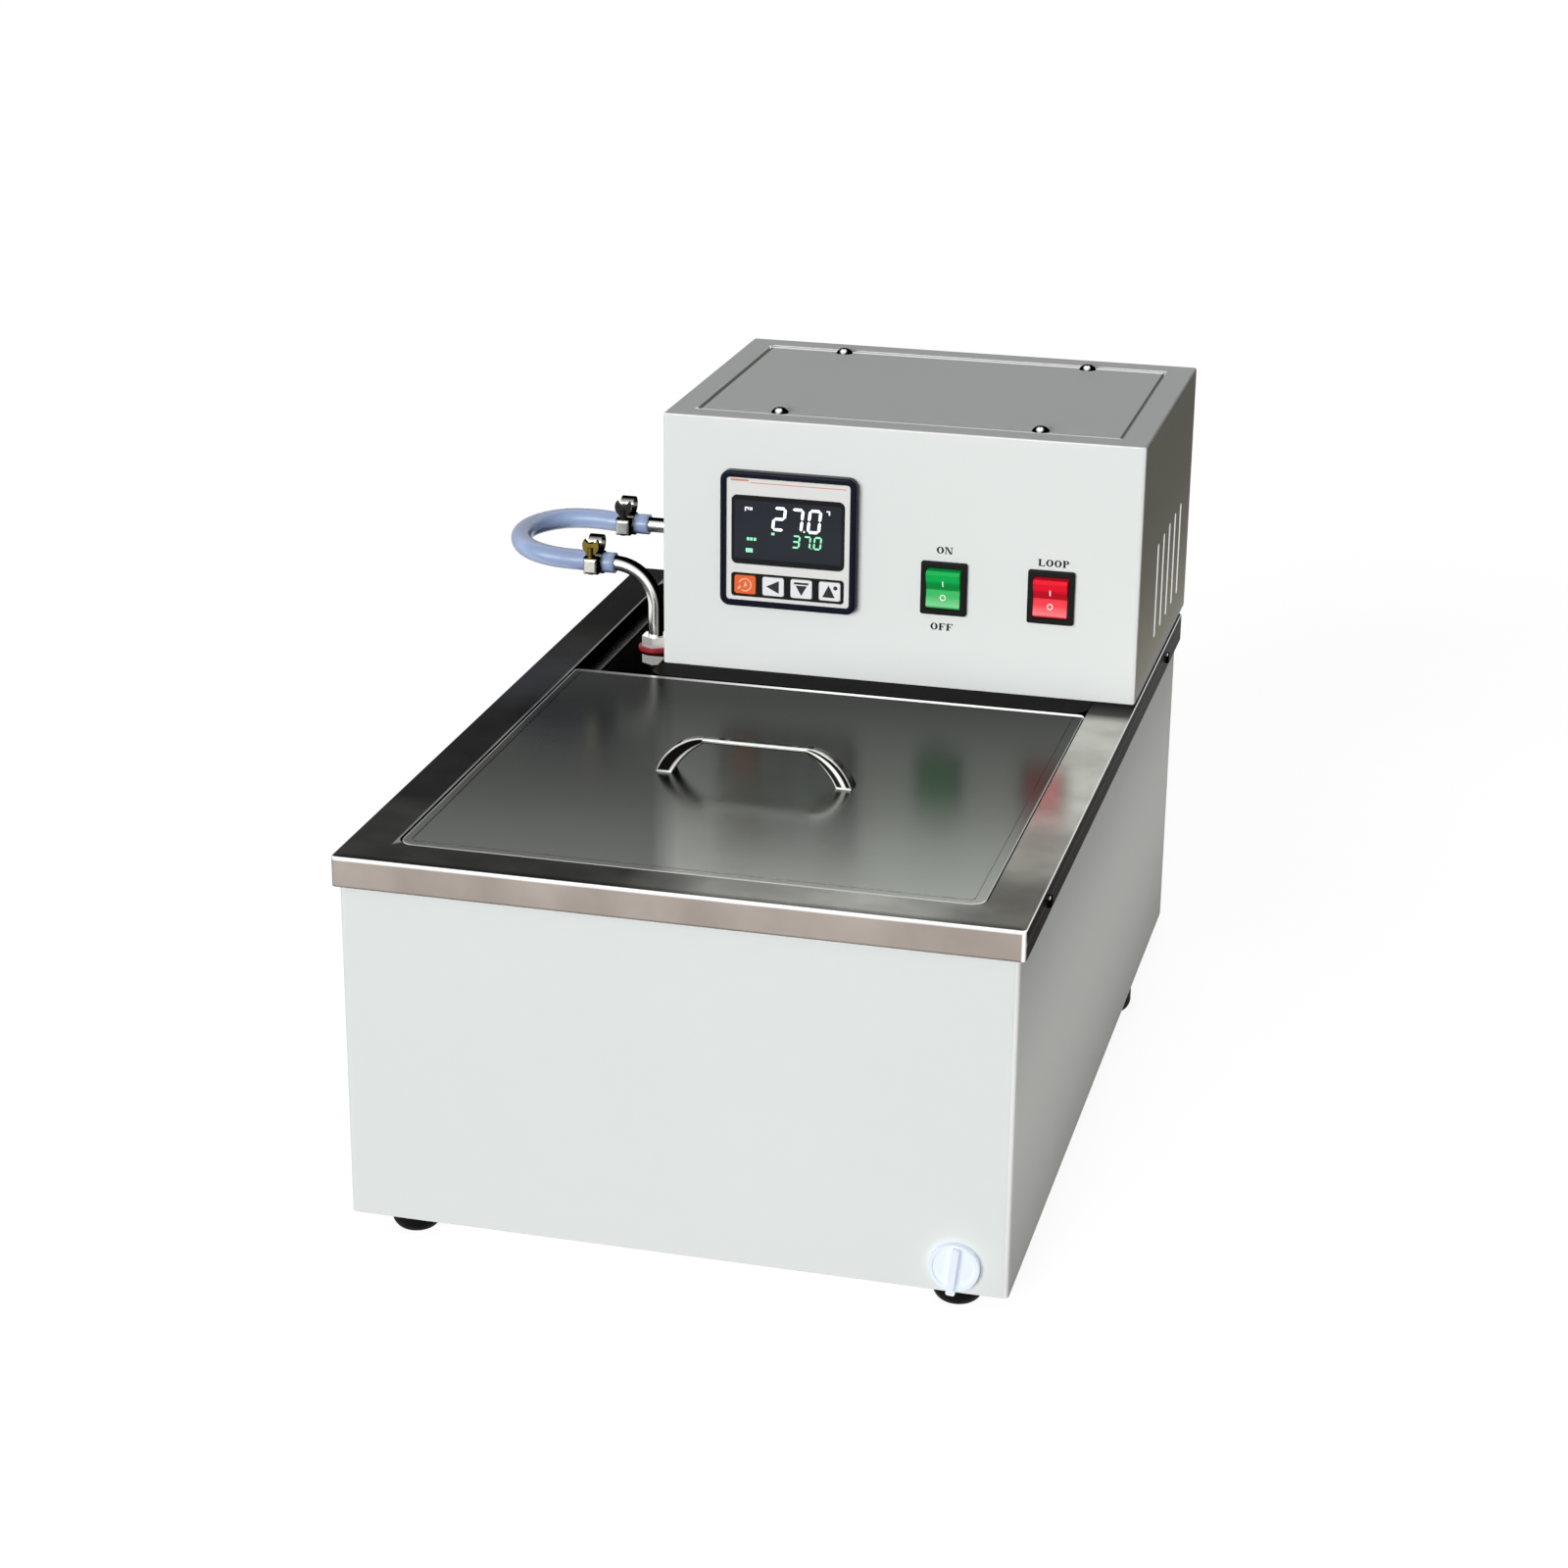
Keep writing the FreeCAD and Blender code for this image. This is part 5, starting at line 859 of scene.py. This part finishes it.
class WATERBATH_OT_hose(bpy.types.Operator):
    """Lays the clear hose from the outlet round its loop to the return"""
    bl_idname = "waterbath.hose"
    bl_label = "Hose"

    def path(self, context):
        """Points along the route, an open spline on the same control points as in the part's source."""
        route = np.array([(-120.5, 372.5, 244.5), (-137.5, 372.6, 244.6), (-154.5, 374.4, 245.0),
                          (-171.0, 371.6, 244.3), (-182.5, 358.8, 243.2), (-185.0, 342.6, 241.5),
                          (-176.6, 328.6, 239.0), (-161.0, 323.9, 236.8), (-143.8, 326.4, 235.6),
                          (-125.5, 326.5, 235.5)]) * MM
        route[:, 1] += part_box("top_rim")[0].y
        curve = bpy.data.curves.new("hose_route", "CURVE")
        curve.dimensions = "3D"
        spline = curve.splines.new("NURBS")
        spline.points.add(len(route) - 1)
        spline.points.foreach_set("co", np.column_stack([route, np.ones(len(route))]).ravel())
        spline.order_u = 3
        spline.use_endpoint_u = True
        spline.resolution_u = 12
        line = bpy.data.objects.new("hose_route", curve)
        context.scene.collection.objects.link(line)
        context.view_layer.update()
        mesh = bpy.data.meshes.new_from_object(line)
        path = np.zeros(len(mesh.vertices) * 3)
        mesh.vertices.foreach_get("co", path)
        bpy.data.objects.remove(line)
        return path.reshape(-1, 3)

    def execute(self, context):
        sizes = context.scene.bath_sizes
        path = self.path(context)
        points, faces = sweep(path, (sizes.hose_diameter / 2, sizes.hose_bore / 2), 36)
        hose = piece("clear_hose", points, faces, "hose", "bath", "clear_hose", smooth=True)
        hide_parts("circulation_hose")
        return {"FINISHED"}


class WATERBATH_OT_display(bpy.types.Operator):
    """Lights the display's two readings and its small marks"""
    bl_idname = "waterbath.display"
    bl_label = "Display"

    def execute(self, context):
        sizes = context.scene.bath_sizes
        upper = reading("27.0", -33.6, -5.6, 267.9, sizes.upper_height / MM - 1.2, 1.5)
        upper += bars((-48.4, -47.9, 276.6, 278.8), (-47.9, -46.9, 278.3, 278.8),
                      (-46.9, -46.4, 277.4, 278.8), (-45.9, -45.4, 277.2, 278.8),
                      (-45.0, -44.5, 277.2, 278.8), (-5.2, -3.4, 279.2, 279.8), (-4.0, -3.4, 277.6, 279.4))
        lower = reading("37.0", -23.2, -6.2, 259.2, sizes.lower_height / MM - 0.8, 0.95)
        lower += bars((-47.3, -46.0, 261.1, 262.7), (-45.5, -44.2, 261.1, 262.7),
                      (-43.7, -42.3, 261.1, 262.7), (-47.8, -44.1, 254.7, 256.9),
                      (-34.3, -32.6, 264.8, 266.2))
        for name, shapes, finish in (("upper_reading", upper, "lit_white"),
                                     ("lower_reading", lower, "lit_green")):
            plates = slabs(shapes, upright(SCREEN_FRONT), sizes.print_thickness)
            piece(name, *plates, finish, "bath", "display_glass")
        return {"FINISHED"}


class WATERBATH_OT_panel_print(bpy.types.Operator):
    """Prints the words beside the switches and the thin line on the controller's face"""
    bl_idname = "waterbath.panel_print"
    bl_label = "Panel print"

    def execute(self, context):
        sizes = context.scene.bath_sizes
        size = sizes.letter_height / MM
        shapes = word("ON", 55.9, 261.1, size) + word("OFF", 55.3, 220.4, size)
        shapes += word("LOOP", 112.2, 258.9, size)
        words = slabs(shapes, upright(HEAD_FRONT), sizes.print_thickness)
        piece("switch_words", *words, "ink", "bath", "black_plastic")
        strokes = bars((-56.0, -46.5, 292.4, 293.3), (-45.5, 5.0, 291.6, 292.0))
        line = slabs(strokes, upright(FASCIA_FRONT), sizes.print_thickness)
        piece("fascia_line", *line, "line_ink", "bath", "orange_key")
        return {"FINISHED"}


class WATERBATH_OT_key_icons(bpy.types.Operator):
    """Prints a sign on each of the controller's keys"""
    bl_idname = "waterbath.key_icons"
    bl_label = "Key signs"

    def signs(self):
        """The outlines about each key's centre: a turning arrow round a small one, an arrow to the left, an
        arrow down under a bar, and an arrow up with a dot."""
        return {
            "run_key": bent_strip(0, 0, 3.6, 3.6, 0.7, 0.7, -140, 160, 26) + [
                np.array([[-4.3, -2.3], [-1.6, -2.7], [-2.7, -0.2]]),
                np.array([[-0.9, -1.5], [1.2, -0.4], [0.1, 2.1]])],
            "shift_key": [np.array([[-3.7, 0], [3.1, -3.4], [3.1, 3.4]])],
            "down_key": [np.array([[0, -3.5], [3.0, 1.9], [-3.0, 1.9]])] + bars((-3.8, 3.8, 2.5, 3.6)),
            "up_key": [np.array([[-3.8, -3.2], [2.8, -3.2], [-0.5, 3.4]]),
                       ellipse(3.1, 2.1, 1.1, 1.1, np.arange(16) * 22.5)],
        }

    def execute(self, context):
        for node, shapes in self.signs().items():
            low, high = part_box(node)
            centre = np.array([low.x + high.x, low.z + high.z]) / 2 / MM
            plates = slabs([shape + centre for shape in shapes], upright(low.y / MM),
                           context.scene.bath_sizes.print_thickness)
            finish = "pale_ink" if node == "run_key" else "key_ink"
            piece(node + "_sign", *plates, finish, node, "black_plastic")
        return {"FINISHED"}


class WATERBATH_OT_rocker_marks(bpy.types.Operator):
    """Prints the line and the ring on the two rockers"""
    bl_idname = "waterbath.rocker_marks"
    bl_label = "Rocker marks"

    def face(self, x, half):
        """Places (across, up) on one half of a rocker's shallow V face, tipped about its pivot. The face runs
        from its dip at the middle out to its tip, and the whole is turned by the stored tilt."""
        tip, dip, reach, pivot, tilt = -4.4, -2.5, 8.55, 1.2, math.radians(6)
        slope = (tip - dip) / reach
        def place(flat):
            along_face = flat[:, 1]
            y = dip + slope * np.abs(along_face)
            turned_y = pivot + (y - pivot) * math.cos(tilt) - along_face * math.sin(tilt)
            turned_z = (y - pivot) * math.sin(tilt) + along_face * math.cos(tilt)
            points = np.stack([x + flat[:, 0], HEAD_FRONT + turned_y, SWITCH_Z + turned_z], 1) * MM
            lean = math.atan(slope * half) + tilt
            return points, np.array([0.0, -math.cos(lean), -math.sin(lean)])
        return place

    def execute(self, context):
        thickness = context.scene.bath_sizes.print_thickness
        for node in ("power_rocker", "loop_rocker"):
            low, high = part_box(node)
            x = (low.x + high.x) / 2 / MM
            line, faces = slabs(bars((-0.35, 0.35, 1.9, 5.2)), self.face(x, 1), thickness)
            ring, ring_faces = slabs(bent_strip(0, -3.9, 1.5, 1.6, 0.5, 0.5, 0, 360, 29), self.face(x, -1),
                                     thickness)
            faces += [face + len(line) for face in ring_faces]
            piece(node + "_marks", np.concatenate([line, ring]), faces, "white_ink", node, "white_plastic")
        return {"FINISHED"}


class WATERBATH_OT_clamp_slots(bpy.types.Operator):
    """Lays dark strips round each hose clamp's band where the worm's slots are, painted shade in place of the
    holes
    """
    bl_idname = "waterbath.clamp_slots"
    bl_label = "Clamp slots"

    def execute(self, context):
        half_length, half_width, lean = 0.0028, np.radians(3.4), np.radians(7.0)
        band_radius, screw_reach, front, back = 0.0062, 0.0045, 0.00627, 0.0061
        across = np.array([-1, 1, 1, -1])
        turn = np.radians(np.arange(-60, 200, 20.0))[:, None]
        angle = turn + np.array([-1, -1, 1, 1]) * half_width + lean * across
        base, below = np.arange(len(turn))[:, None] * 4, 4 * len(turn)
        faces = [base + np.array([0, 1, 2, 3]), base + below + np.array([3, 2, 1, 0])]
        faces += [base + np.array([k, k + below, (k + 1) % 4 + below, (k + 1) % 4]) for k in range(4)]
        for node in ("outlet_clamp_band", "return_clamp_band"):
            low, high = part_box(node)
            x = np.broadcast_to((low.x + high.x) / 2 + across * half_length, angle.shape)
            y, z = high.y - band_radius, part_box(node.replace("band", "screw"))[0].z + screw_reach
            points = np.stack([[x, y + radius * np.cos(angle), z + radius * np.sin(angle)]
                               for radius in (front, back)])
            points = np.moveaxis(points, 1, -1).reshape(-1, 3)
            name = node.replace("band", "slots")
            # The dark strips are painted shade where the slots would show through
            piece(name, points, np.concatenate(faces), "dark_key", "bath", "clamp_brass")
        return {"FINISHED"}


class WATERBATH_PT_panel(bpy.types.Panel):
    """Lists the water bath's steps"""
    bl_idname = "WATERBATH_PT_panel"
    bl_label = "Water Bath"
    bl_space_type = "VIEW_3D"
    bl_region_type = "UI"
    bl_category = "Water Bath"

    def draw(self, context):
        for name, group in GROUPS.items():
            for entry in group.__annotations__:
                self.layout.prop(getattr(context.scene, name), entry)
        for step in STEPS:
            self.layout.operator(step.bl_idname)


GROUPS = {"bath_colours": BathColours, "bath_sizes": BathSizes, "bath_stage": BathStage}
STEPS = (WATERBATH_OT_stage, WATERBATH_OT_finishes, WATERBATH_OT_hose, WATERBATH_OT_clamp_slots,
         WATERBATH_OT_display, WATERBATH_OT_panel_print, WATERBATH_OT_key_icons, WATERBATH_OT_rocker_marks)


def register():
    for group in GROUPS.values():
        bpy.utils.register_class(group)
    for step in STEPS + (WATERBATH_PT_panel,):
        bpy.utils.register_class(step)
    for name, group in GROUPS.items():
        setattr(bpy.types.Scene, name, PointerProperty(type=group))


def unregister():
    for name in GROUPS:
        delattr(bpy.types.Scene, name)
    for step in reversed(STEPS + (WATERBATH_PT_panel,)):
        bpy.utils.unregister_class(step)
    for group in GROUPS.values():
        bpy.utils.unregister_class(group)


def main():
    register()
    for step in STEPS:
        family, name = step.bl_idname.split(".")
        getattr(getattr(bpy.ops, family), name)()


if __name__ == "__main__":
    main()
